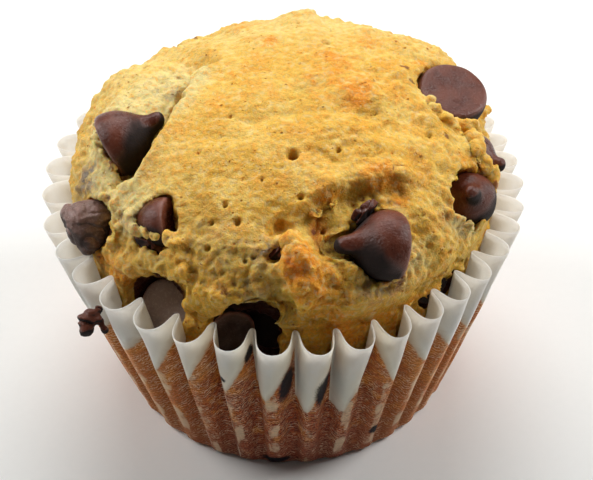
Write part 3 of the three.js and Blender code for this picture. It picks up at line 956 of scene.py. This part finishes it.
# ridges and folds of the crust, and hollows with a height below zero: from, to, width and height in mm
ridges = [
    (-0.4, -24.2, 43.8, 1.4, -26.2, 42.2, 1.1, 1.1), (1.4, -26.2, 42.2, 2.6, -28.4, 39.4, 1.2, 1.1),
    (4, -22.6, 44.9, 5.3, -24.6, 43.3, 1.7, -1.8), (2.1, -20.3, 45.9, 5.5, -17.6, 46.6, 1.1, 0.6),
    (-1, -26.4, 42, -1.4, -28.4, 39.6, 0.9, -0.8), (7, -28.4, 39.4, 9.6, -28.6, 36.4, 1.6, 0.7),
    (5.5, -17.6, 46.6, 14.4, -14.2, 45.9, 1.2, 0.8), (4.5, -20.2, 45.8, 8.5, -18.6, 46, 1.1, -0.8),
    (8.5, -18.6, 46, 14, -17, 45.2, 1.1, -0.9), (17.3, -18.6, 43, 20.4, -21.4, 37.4, 1.4, 0.9),
    (-4.7, -28.8, 38.4, -0.5, -29.6, 36.8, 1.6, -0.9), (-8.6, -28.4, 37.6, -3.8, -28.6, 39, 1.1, 0.8),
    (10.4, 2, 48.4, 13.8, -4.4, 47.8, 0.9, 0.6), (9.3, -8.2, 48.2, 15.6, -14.2, 45.6, 1, 0.5),
    (2.6, -0.6, 49.3, 4.4, 0.4, 49.2, 1.3, -0.7), (8.6, -3.4, 48.7, 10.6, -4.6, 48.5, 1.2, -0.7),
    (-4.2, -6.6, 49, 0.6, -5.2, 49.1, 0.9, -0.5), (-9.8, -9.2, 48.1, -6.4, -9.5, 48.5, 0.9, -0.4),
    (4.2, -9.5, 48.7, 9, -6, 48.7, 1.1, 0.5), (16, 5, 46.8, 19, -4, 46, 1.3, 0.6),
    (18.5, -5, 46, 19.5, -9, 45, 1, -0.5), (24.6, -5.6, 43, 27.2, -8.6, 40, 1.2, 0.8),
    (7.5, -29, 36.2, 14.3, -26.4, 36.4, 1.4, 0.7), (-21.8, -20.6, 36.4, -17.8, -23.2, 38.6, 1.2, 0.6),
    (-13, -17, 45.9, -10, -22, 44, 1.4, -0.5), (-14.5, 3.8, 47.9, -12, 7.2, 48.1, 0.8, 0.5),
    (-22.6, 3, 45, -24.5, -4, 43.2, 1.8, 0.6), (-4, 14, 48, 4, 16, 47.6, 1.6, 0.7),
    (12, 17, 45.6, 17, 12, 45.6, 1.4, 0.7), (-16, 16, 45.4, -9, 20, 45.4, 1.8, -0.7),
    (4, 27, 41, 11, 25, 41.5, 1.4, 0.7), (22, 17, 41, 27, 8, 40.6, 1.5, 0.6),
]
# small open holes: place, radius and depth in mm
holes = [
    (0.9, -12.9, 48.2, 0.75, 1.6), (-7.3, -5.6, 48.8, 0.35, 0.7), (-11.3, -11.6, 47.4, 0.3, 0.7),
    (1.8, -19.2, 46.4, 0.45, 0.9), (-7.8, -19.6, 45.6, 0.4, 0.8), (-6.2, -22, 44.7, 0.45, 0.9),
    (-9.5, -21.6, 44.2, 0.4, 0.8), (-9.9, -24.2, 42.3, 0.4, 0.9), (-5.3, -26.2, 41.8, 0.35, 0.8),
    (-4.3, -25.9, 42.2, 0.35, 0.8), (-14.3, -0.3, 47.9, 0.6, 1.3), (6.9, -12, 48, 0.35, 0.7),
    (-3.1, -16.5, 47.2, 0.3, 0.6), (10.4, -12.4, 47.4, 0.35, 0.7), (19.2, -6.5, 46, 0.4, 0.8),
    (-0.6, -23.2, 44.5, 0.6, 1.2), (0.5, -22.5, 44.9, 0.7, 1.4), (-1.5, -25.6, 42.8, 0.35, 1.3),
    (-0.8, -25.1, 43.2, 0.35, 1.4), (5.1, -22.6, 44.5, 0.4, 0.9), (-11.4, -27, 34.2, 0.9, 1.4),
    (6, 12, 48.2, 0.6, 1.2), (-8, 14, 47.6, 0.5, 1), (16, 20, 43.8, 0.6, 1.2), (-20, 12, 44.8, 0.5, 1),
    (24, 2, 44, 0.5, 1), (2, 20, 46.6, 0.5, 1),
]


def domePoint(azimuth, tilt):
    look = cakeLook
    power = 2 / look["fullness"]
    side = look["radius"] * max(0.0, math.sin(tilt)) ** power
    up = look["rise"] * max(0.0, math.cos(tilt)) ** power
    base = polar(side, azimuth, look["rimHeight"] + up)
    outward = Vector((base.x / look["radius"] ** 2, base.y / look["radius"] ** 2, up / look["rise"] ** 2))
    outward.normalize()
    height = 0.0
    for at, width, rise in lumps:
        height += rise * bell((base - at).length, width)
    height += 0.45 * wobble(base, 6.2, 3)
    return base + outward * height * smooth(0, 4, up)


def bodyPoint(p):  # a unit sphere's point moved to the muffin's surface
    azimuth = azimuthOf(p)
    tilt = math.acos(max(-1.0, min(1.0, p.z)))
    if tilt <= math.pi / 2:
        return domePoint(azimuth, tilt)
    down = (tilt - math.pi / 2) / (math.pi / 2)
    z = cakeLook["rimHeight"] - 13 * min(1.0, down * 1.6)
    radius = max(0.0, min(fillRadius(azimuth, z), 33)) * (1 if down < 0.625 else (1 - down) / 0.375)
    return polar(radius, azimuth, z)


def offLine(p, a, b):  # from a line to p, and how far along the line the nearest point is
    edge = b - a
    share = max(0.0, min(1.0, (p - a).dot(edge) / edge.length_squared))
    return p - (a + edge * share), share


def crackShape(p):  # how far the sunken shelf left of the crack drops, and its groove and lip, each up to 1
    best = (1e9, 0, 0)
    for i, (a, b) in enumerate(zip(crack, crack[1:])):
        offset, share = offLine(p, a, b)
        if offset.length < best[0]:
            edge = b - a
            best = (offset.length, edge.x * offset.y - edge.y * offset.x, i + share)
    distance, side, along = best
    left = distance if side < 0 else -distance
    ends = smooth(0, 0.9, along) * smooth(0, 0.9, len(crack) - 1 - along)
    drop = smooth(-0.1, 0.35, left) * math.exp(-max(0.0, left - 1.2) / 9)
    ragged = max(0.2, 0.8 + 1.2 * wobble(p, 1.8, 61))
    return ends * drop, ends * ragged * bell(left - 0.7, 0.5), ends * bell(left + 0.6, 0.7)


def addSocket(bm, piece, clear, cover):  # the room between a piece of chocolate and the camera
    points = [v.co / metre for v in piece.data.vertices]
    middle = sum(points, Vector()) / len(points)
    ahead = (Vector(cameraLook["place"]) - middle).normalized() * clear
    heights = [p.z - 0.9 * p.y for p in points]
    lowest = mix(min(heights), max(heights), cover)
    hull = bmesh.new()
    for p, height in zip(points, heights):
        if height >= lowest:
            hull.verts.new(middle + (p - middle) * 1.01)
            hull.verts.new(middle + (p - middle) * 1.05 + ahead)
    keepHull(hull)
    mesh = meshFrom("socket", hull)
    bm.from_mesh(mesh)
    bpy.data.meshes.remove(mesh)


def pocketCutters():
    bm = bmesh.new()
    for at, outward, size in pockets:
        made = bmesh.ops.create_icosphere(bm, subdivisions=4, radius=0.5)["verts"]
        for vertex in made:
            vertex.co *= 1 + 0.35 * wobble(vertex.co, 0.35, size[0])
        upright = Vector(outward).to_track_quat("Z", "Y").to_matrix().to_4x4()
        matrix = Matrix.Translation(at) @ upright @ Matrix.Diagonal((*size, 1))
        bmesh.ops.transform(bm, matrix=matrix, verts=made)
    for values, piece in zip(chips + shards + chunks, sweets):
        if "open" in values:
            radius, length = values["size"][0] / 2, values["open"] + 1.5
            made = bmesh.ops.create_cone(
                bm, cap_ends=True, segments=40, depth=length,
                radius1=radius + 0.15 * length, radius2=radius + 0.25,
            )["verts"]
            lift = Matrix.Translation((0, 0, 1.5 - length / 2))
            matrix = Matrix.Translation(values["at"]) @ turnedTo(values["tip"]) @ lift
            bmesh.ops.transform(bm, matrix=matrix, verts=made)
        if "clear" in values:
            addSocket(bm, piece, values["clear"], values.get("cover", 0))
    return addObject("pocketCutters", meshFrom("pocketCutters", bm))


def remeshedCake():
    bm = bmesh.new()
    bmesh.ops.create_uvsphere(bm, u_segments=180, v_segments=110, radius=1)
    for vertex in bm.verts:
        vertex.co = bodyPoint(vertex.co)
    body = addObject("cakeBody", meshFrom("cakeBody", bm))
    cut = body.modifiers.new("pockets", "BOOLEAN")
    cut.operation = "DIFFERENCE"
    cut.object = pocketCutters()
    cut.solver = "EXACT"
    cut.use_self = True
    bm = bmesh.new()
    bm.from_mesh(appliedMesh(body))
    bpy.data.objects.remove(cut.object)
    body.modifiers.clear()
    for at, radius in nuggets:
        made = bmesh.ops.create_icosphere(bm, subdivisions=2, radius=radius)["verts"]
        for vertex in made:
            vertex.co *= 1 + 0.5 * wobble(vertex.co + at, 0.9, 4) + 0.25 * wobble(vertex.co + at, 0.45, 6)
        bmesh.ops.translate(bm, vec=at, verts=made)
    bm.to_mesh(body.data)
    bm.free()
    return remeshed(body, cakeLook["voxel"])


def clumps(p, size, seed):  # rounded crumbs with sharp creases between them, about -0.5 to 0.5
    away, places = noise.voronoi(p / size + Vector((seed, 2.7 * seed, -seed)))
    return 0.25 - 1.3 * away[0] ** 2 + 0.4 * noise.noise(places[0] * 3.1)




def crumbHeight(p, shelf):
    look = cakeLook
    torn = max(smooth(46.5, 40, p.z), 0.55 * smooth(-2, 12, p.x + 8 * wobble(p, 9, 2)), shelf)
    rugged = mix(look["calmest"], 1, torn)
    warped = p + 0.7 * Vector((wobble(p, 2.6, 31), wobble(p, 2.6, 32), wobble(p, 2.6, 33)))

    def waves(name, at, seed, share, shape=wobble):
        low, more, size = look[name]
        return (low + more * share) * shape(at, size, seed)

    height = waves("swell", p, 6, torn)
    height += waves("bump", warped, 9, rugged) + waves("clump", warped, 9, rugged, clumps)
    height += waves("grain", warped, 12, rugged) + waves("shelfClump", p, 5, shelf, clumps)
    height += waves("fineGrain", p, 15, rugged)
    for a, b, width, rise in ridges:
        if abs(a.y - p.y) < 12:
            height += rise * bell(offLine(p, a, b)[0].length, width)
    for at, radius, depth in holes:
        away = (p - at).length
        if away < 4:
            height -= depth * smooth(1.35, 0.6, away / radius)
    pitDepth, pitSpacing = look["pits"]
    pit = noise.voronoi(warped / pitSpacing)[0][0] - 0.05 * wobble(p, 6, 41)
    return height - pitDepth * smooth(0.12, 0.05, pit)


def sweetTrees():
    trees = []
    for piece in sweets:
        mesh = appliedMesh(piece)
        points = [v.co / metre for v in mesh.vertices]
        trees.append(BVHTree.FromPolygons(points, [tuple(f.vertices) for f in mesh.polygons]))
        bpy.data.meshes.remove(mesh)
    return trees


# coloured places on the crust, first the browned ones: place, width in mm and strength
toastSpots = [
    (1.6, -26.8, 42.3, 1.9, 1.4), (2.4, -28.2, 40.6, 1.8, 0.8), (3.6, 24.4, 44.1, 2.4, 0.5),
    (-2.1, 11.7, 48.4, 1.6, 0.7), (7, 7, 48.7, 2.4, 0.7), (8.4, 1.1, 48.9, 2.6, 0.6),
    (11.2, -0.3, 48.5, 1.8, 0.4), (12.2, 13.2, 46.9, 2.6, 0.6), (19.2, 9.3, 45.5, 1.4, 0.8),
    (-7.8, 4.8, 48.8, 1.8, 0.4), (-8.2, -1.7, 48.9, 1.6, 0.4), (-21.2, -21.4, 35.1, 3, 0.45),
    (-9.1, -27.5, 38.8, 2.2, 0.5), (8.1, -28.6, 36.8, 3, 0.15), (14.3, -26.2, 36.2, 2.6, 0.3),
    (18.6, -21.8, 39.3, 3, 0.4), (5.3, -29.7, 34.4, 3, 0.3), (9.9, -28.5, 33, 3, 0.3),
    (-26.3, 4, 41.9, 3.2, 0.35), (-24.3, -17.9, 34.1, 2.6, 0.4), (26.6, -9.7, 39.9, 2.2, 0.7),
    (23.9, -9.1, 42.9, 2, 0.4), (0.8, -12.9, 48.2, 0.9, 0.8), (10.1, -14.7, 46.9, 2.2, 0.3),
    (12.8, -16.2, 45.8, 2.2, 0.8), (5.5, -19.6, 46.2, 1.8, 0.6), (14.5, -18, 44.5, 1.2, 0.3),
    (5.2, -24.4, 43.4, 1.8, 0.5), (3.6, -29, 38.4, 2.2, 0.4), (-0.9, -23.5, 44.3, 1.4, 0.6),
    (3.4, 0.5, 49.2, 1.8, 0.5), (9.7, -3.3, 48.7, 1.6, 0.6), (-6, 24, 43, 3, 0.6),
    (15, 22, 41, 3, 0.5), (-20, 18, 41, 3, 0.5),
]
# torn and floury
paleSpots = [
    (-17.2, 2.7, 47, 3.6, 0.9), (-13.1, 5.1, 48, 2.4, 0.9), (-16.5, -1, 47.2, 2.4, 1),
    (-20.4, -12.4, 44, 2.2, 0.5), (-22.9, -12.4, 42.4, 2.4, 0.7), (-24.5, -6, 42.6, 3, 0.8),
    (-24.7, -12.8, 40.6, 2.4, 0.6), (13.8, -20, 43.8, 1.6, 0.7), (19.8, 0.9, 46.1, 2.2, 0.6),
    (-19.6, -17.6, 42.2, 2, 0.7), (-17, -22, 40, 2.6, 0.4), (7.8, -25.6, 41.6, 2, 0.5),
    (15.9, -23.9, 39.2, 2.6, 0.7), (25, -16, 38, 2.2, 0.6), (22.5, -17.2, 40.1, 1.8, 0.6),
    (-25, -3.6, 44, 1.6, 0.9), (-22.3, -10, 41.8, 2.2, 0.7), (-24.6, 1.2, 43.6, 2.2, 0.7),
]
# greyed by melted chocolate, except the last, which is painted shade on the front face
greySpots = [
    (-27.2, -8.5, 39.6, 1.8, 0.9), (-26.5, -7, 41.2, 1.4, 0.6), (-2.1, -24.8, 43.3, 1, 0.7),
    (-3.1, -25.8, 42.4, 0.9, 0.7), (11.7, -27, 37.7, 1.6, 0.6), (9.1, -27.5, 38.8, 1.2, 0.4),
    (14, -25.9, 39.2, 1.4, 0.7), (23.4, -16.9, 39, 1.4, 0.5), (20.9, -17.7, 41.1, 1.2, 0.4),
    (-15.8, 3.7, 47.1, 1.6, 0.5), (-20.5, -17.9, 41.3, 1.4, 0.6), (-4.6, -29.4, 38.2, 2, 0.5),
    # painted shade on the front face
    (-9.4, -23.8, 43, 2.8, 0.25),
]
# dark red crumbs of melted chocolate
specks = [
    (16.6, 6.5, 46.9, 0.7, 1.7), (17.4, 3.6, 46.9, 0.5, 1.6), (19.2, -0.6, 46.3, 0.6, 1.5),
    (3.4, -22.7, 44.7, 0.45, 1.7), (4.4, -24.6, 43.3, 0.45, 1.7), (21.4, -6.2, 45.2, 0.45, 1.5),
    (-17.5, -8.6, 46.4, 0.6, 1.3), (-12.9, -25.9, 39.3, 0.5, 1.4), (-7.5, -28.4, 38.3, 0.9, 1.5),
    (-24.7, -14.5, 39.8, 0.9, 1.4), (-23.2, -13.4, 41.3, 0.8, 1.2), (14.6, 14, 46, 0.5, 1.4),
]


def spotSum(p, spots):
    return sum(strength * bell((p - at).length, width) for at, width, strength in spots)


def asVectors(rows, places=1):  # the first numbers of each row become its places
    starts = range(0, 3 * places, 3)
    return [[Vector(row[i:i + 3]) for i in starts] + list(row[3 * places:]) for row in rows]


crack = [Vector(p) for p in crack]
ridges = asVectors(ridges, 2)
lumps, nuggets, holes, specks = asVectors(lumps), asVectors(nuggets), asVectors(holes), asVectors(specks)
toastSpots, paleSpots, greySpots = asVectors(toastSpots), asVectors(paleSpots), asVectors(greySpots)


def shapeCrumb(mesh):
    look = cakeLook
    rim = look["rimHeight"]
    trees = sweetTrees()
    normals = [v.normal.copy() for v in mesh.vertices]
    values = {name: [] for name in ("toast", "pale", "grey", "stain", "meltAndShade", "relief")}
    for vertex, normal in zip(mesh.vertices, normals):
        p = vertex.co.copy()
        above = smooth(29, 33.5, p.z)
        shelf, groove, lip = crackShape(p) if p.x < -3 and p.z > 36 else (0, 0, 0)
        relief = crumbHeight(p, shelf) * (0.4 + 0.6 * above)
        stain = spotSum(p, specks)
        meltAndShade = 0.0
        # painted shade: the crumb round the chips in the low hollows is painted very dark, with a little
        # melted chocolate
        hollowed = smooth(0.6, 2.2, 29.6 - math.hypot(p.x, p.y)) * smooth(38.5, 37, p.z)
        for tree in trees:
            near = tree.find_nearest(p, 5)
            if near[0] is not None:
                away = near[3] if (p - near[0]).dot(near[1]) > 0 else 0
                stain = max(stain, bell(away, 0.8))
                meltAndShade = max(meltAndShade, bell(away, 2.6) * hollowed)
                relief += look["stuckCrumb"] * bell(away, 0.8) * (0.2 + 1.3 * wobble(p, 0.9, 21)) * above
        sunk = look["shelfDrop"] * shelf + look["grooveDepth"] * groove - look["lipHeight"] * lip
        moved = p + normal * relief - Vector((p.x / 900, p.y / 900, 1)).normalized() * sunk
        if moved.z < rim + 5:  # kept inside the paper
            azimuth, z = azimuthOf(p), min(moved.z, rim)
            inner, outer = foldRadii(azimuth, z)
            wall = mix(inner, outer, scallop(foldPhase(azimuth, z), z, 0.08)) - look["paperGap"]
            allowed = mix(wall, inner - 0.3, smooth(31, rim, moved.z)) + 0.16 * max(0.0, moved.z - rim)
            if math.hypot(moved.x, moved.y) > allowed:
                moved = polar(allowed, azimuth, moved.z)
        vertex.co = moved
        browned = 0.4 * smooth(38, 33, p.z) * (0.6 + wobble(p, 3.5, 51))
        values["toast"].append(spotSum(p, toastSpots) * (1 - 0.6 * shelf) + browned)
        values["pale"].append(spotSum(p, paleSpots) + 0.5 * shelf)
        values["grey"].append(spotSum(p, greySpots))
        values["stain"].append(stain)
        values["meltAndShade"].append(meltAndShade)
        # kept for the colour, which is painted darker in dips and in the crack's groove: painted shade
        values["relief"].append(relief - 2.0 * groove)
    for name, numbers in values.items():
        mesh.attributes.new(name, "FLOAT", "POINT").data.foreach_set("value", numbers)


def addFoot(mesh):  # closes the cake below the fine crumb with a plain fluted foot
    look = cakeLook
    bm = bmesh.new()
    bm.from_mesh(mesh)
    geometry = bm.verts[:] + bm.edges[:] + bm.faces[:]
    tilt = Vector((*look["cutTilt"], 1))
    level = (0, 0, look["cutHeight"])
    bmesh.ops.bisect_plane(bm, geom=geometry, plane_co=level, plane_no=tilt, clear_inner=True)

    def footPoint(vertex, z):
        azimuth = azimuthOf(vertex.co)
        inner, outer = foldRadii(azimuth, max(z, 2))
        fluted = mix(inner, outer, scallop(foldPhase(azimuth, z), z, 0.08))
        radius = min(fluted, fillRadius(azimuth, max(z, 2))) - look["paperGap"]
        if z <= 2:
            radius -= look["footInset"] * (3 - z)
        return polar(radius, azimuth, z)

    edges = [e for e in bm.edges if e.is_boundary]
    for height in look["footRows"]:
        edges = nextRow(bm, edges, lambda vertex, z=height: footPoint(vertex, z))
    bmesh.ops.contextual_create(bm, geom=edges)
    bmesh.ops.triangulate(bm, faces=[f for f in bm.faces if len(f.verts) > 4])
    bmesh.ops.recalc_face_normals(bm, faces=bm.faces)
    bm.to_mesh(mesh)
    bm.free()


crumbLook = {
    "gold": (0.72, 0.42, 0.055),
    "cream": (0.84, 0.58, 0.14),
    "tan": (0.75, 0.35, 0.042),
    "crust": (0.74, 0.38, 0.050),
    # painted shade: darker and more saturated low on the dome
    "shadedLow": (0.62, 0.35, 0.032),
    # olive crumb, also used for painted shade in the dips
    "oliveAndShade": (0.48, 0.33, 0.050),
    "glint": (0.93, 0.74, 0.34),
    "toast": (0.78, 0.26, 0.010),
    "glow": (1.0, 0.36, 0.03),  # tints the most browned places
    # dark toast, also used for painted shade in the deepest dips and in the holes
    "darkToastAndShade": (0.44, 0.13, 0.007),
    "pale": (0.79, 0.65, 0.27),
    "greyGreen": (0.56, 0.48, 0.22),
    "grey": (0.30, 0.24, 0.18),
    "chocolate": (0.18, 0.045, 0.02),
    # painted shade in the low hollows round the chips, with a little melted chocolate
    "melted": (0.075, 0.022, 0.015),
    "noises": {  # size in mm, detail, roughness and distortion
        "broad": (4.6, 3, 0.55, 0.3),
        "middle": (1.5, 4, 0.6, 0.2),
        "fine": (0.40, 4, 0.7),
        "speckled": (0.8, 3, 0.6),
        "sparkle": (0.24, 2, 0.7),
    },
    "layers": [
        ("warm", 0.48, 0.66, 0.75, "tan"),
        ("middle", 0.50, 0.34, 0.2, "oliveAndShade"),
        ("z", 40, 46.5, 0.25, "crust"),
        # painted light: paler towards the back, where the light from behind falls
        ("y", 4, 24, 0.5, "pale"),
        ("x", -12, -23, 0.5, "pale"),
        # painted shade: darker and more saturated towards the bottom
        ("z", 46, 38, 0.55, "shadedLow"),
        ("browned", 0.2, 1.0, 0.85, "toast"),
        ("browned", 1.2, 2.0, 0.8, "darkToastAndShade"),
        ("whitened", 0.25, 0.8, 0.85, "pale"),
        ("greened", 0.5, "greyGreen"),
        ("speckled", 0.52, 0.64, 0.6, "tan"),
        ("speckled", 0.48, 0.36, 0.4, "glint"),
        # painted shade: darker in the dips of the crust and in the crack's groove
        ("relief", -0.15, -0.9, 0.4, "oliveAndShade"),
        ("relief", -0.9, -2.0, 0.85, "darkToastAndShade"),
        ("sparkle", 0.60, 0.72, 0.35, "glint"),
        ("toast", 0.85, 1.5, 1.0, "glow"),
        # painted shade in the pores, partly browner crumb inside them
        ("pores", 0.4, "toast"),
        ("greyed", 1.0, "grey"),
        ("smeared", 0.5, 1.0, 0.8, "chocolate"),
        # painted shade in the low hollows, with a little melted chocolate
        ("melted", 0.40, 0.60, 1.0, "melted"),
        # painted shade in the holes, partly browner crumb inside them
        ("holes", 0.75, "darkToastAndShade"),
    ],
    "speckle": (0.80, 1.12),  # how dark and how bright its finest grain is
    "surface": {
        "Roughness": 0.45,
        "Specular IOR Level": 0.14,
        "Subsurface Weight": 0.55,
        "Subsurface Radius": (1.0, 0.6, 0.2),
        "Subsurface Scale": 1.0 * metre,
    },
}


def crumbMaterial(look):
    material, tree, shader, coords = startMaterial("bakedCrumb")
    steers = startSteers(tree, coords, look["noises"], ("toast", "pale", "grey", "stain", "meltAndShade", "relief"))
    middle, broad = steers["middle"], steers["broad"]
    pores = fadeNode(tree, cellNode(tree, coords, 0.75), 0.22, 0.08)
    pores = timesNode(tree, pores, fadeNode(tree, middle, 0.40, 0.60, 0.15, 1.0))
    holes = fadeNode(tree, cellNode(tree, coords, 1.5), 0.16, 0.08)
    holes = timesNode(tree, holes, fadeNode(tree, middle, 0.50, 0.60))
    turned = stretchNode(tree, coords, (1, 1, 1), (0.5, 0.8, 1.1))
    whitened = addNode(tree, steers["pale"], broad, 0.9, 0.5)
    steers.update({
        "warm": noiseNode(tree, turned, 3.6, 3, 0.55, 0.6),
        "browned": addNode(tree, steers["toast"], middle, 2.0, 0.5),
        "whitened": whitened,
        "greened": timesNode(tree, fadeNode(tree, whitened, 0.3, 1.0), fadeNode(tree, middle, 0.45, 0.62)),
        "pores": pores,
        "greyed": timesNode(tree, steers["grey"], fadeNode(tree, middle, 0.35, 0.60)),
        "smeared": addNode(tree, steers["stain"], middle, 3.0, 0.62),
        # painted shade in the hollows, with a little melted chocolate
        "melted": addNode(tree, steers["meltAndShade"], middle, 0.3),
        "holes": holes,
    })
    colour = blendNode(tree, fadeNode(tree, broad, 0.36, 0.62), look["gold"], look["cream"])
    colour = layersNode(tree, colour, steers, look, look["layers"])
    bright = tree.nodes.new("ShaderNodeHueSaturation")
    tree.links.new(colour, bright.inputs["Color"])
    tree.links.new(fadeNode(tree, steers["fine"], 0.32, 0.68, *look["speckle"]), bright.inputs["Value"])
    normal = bumpNode(tree, steers["speckled"], 0.16)
    for height, depth in ((holes, -0.35), (pores, -0.14), (steers["fine"], 0.11)):
        normal = bumpNode(tree, height, depth, normal)
    finishMaterial(tree, shader, look, bright.outputs["Color"], normal)
    return material


cakeMesh = remeshedCake()
print("cake body has", len(cakeMesh.polygons), "faces")
shapeCrumb(cakeMesh)
addFoot(cakeMesh)
cakeMesh.transform(Matrix.Scale(metre, 4))
cake = placeMesh("cake.crumb", cakeMesh, crumbMaterial(crumbLook))
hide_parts("cake")
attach(cake, "root")
print("cake is baked")
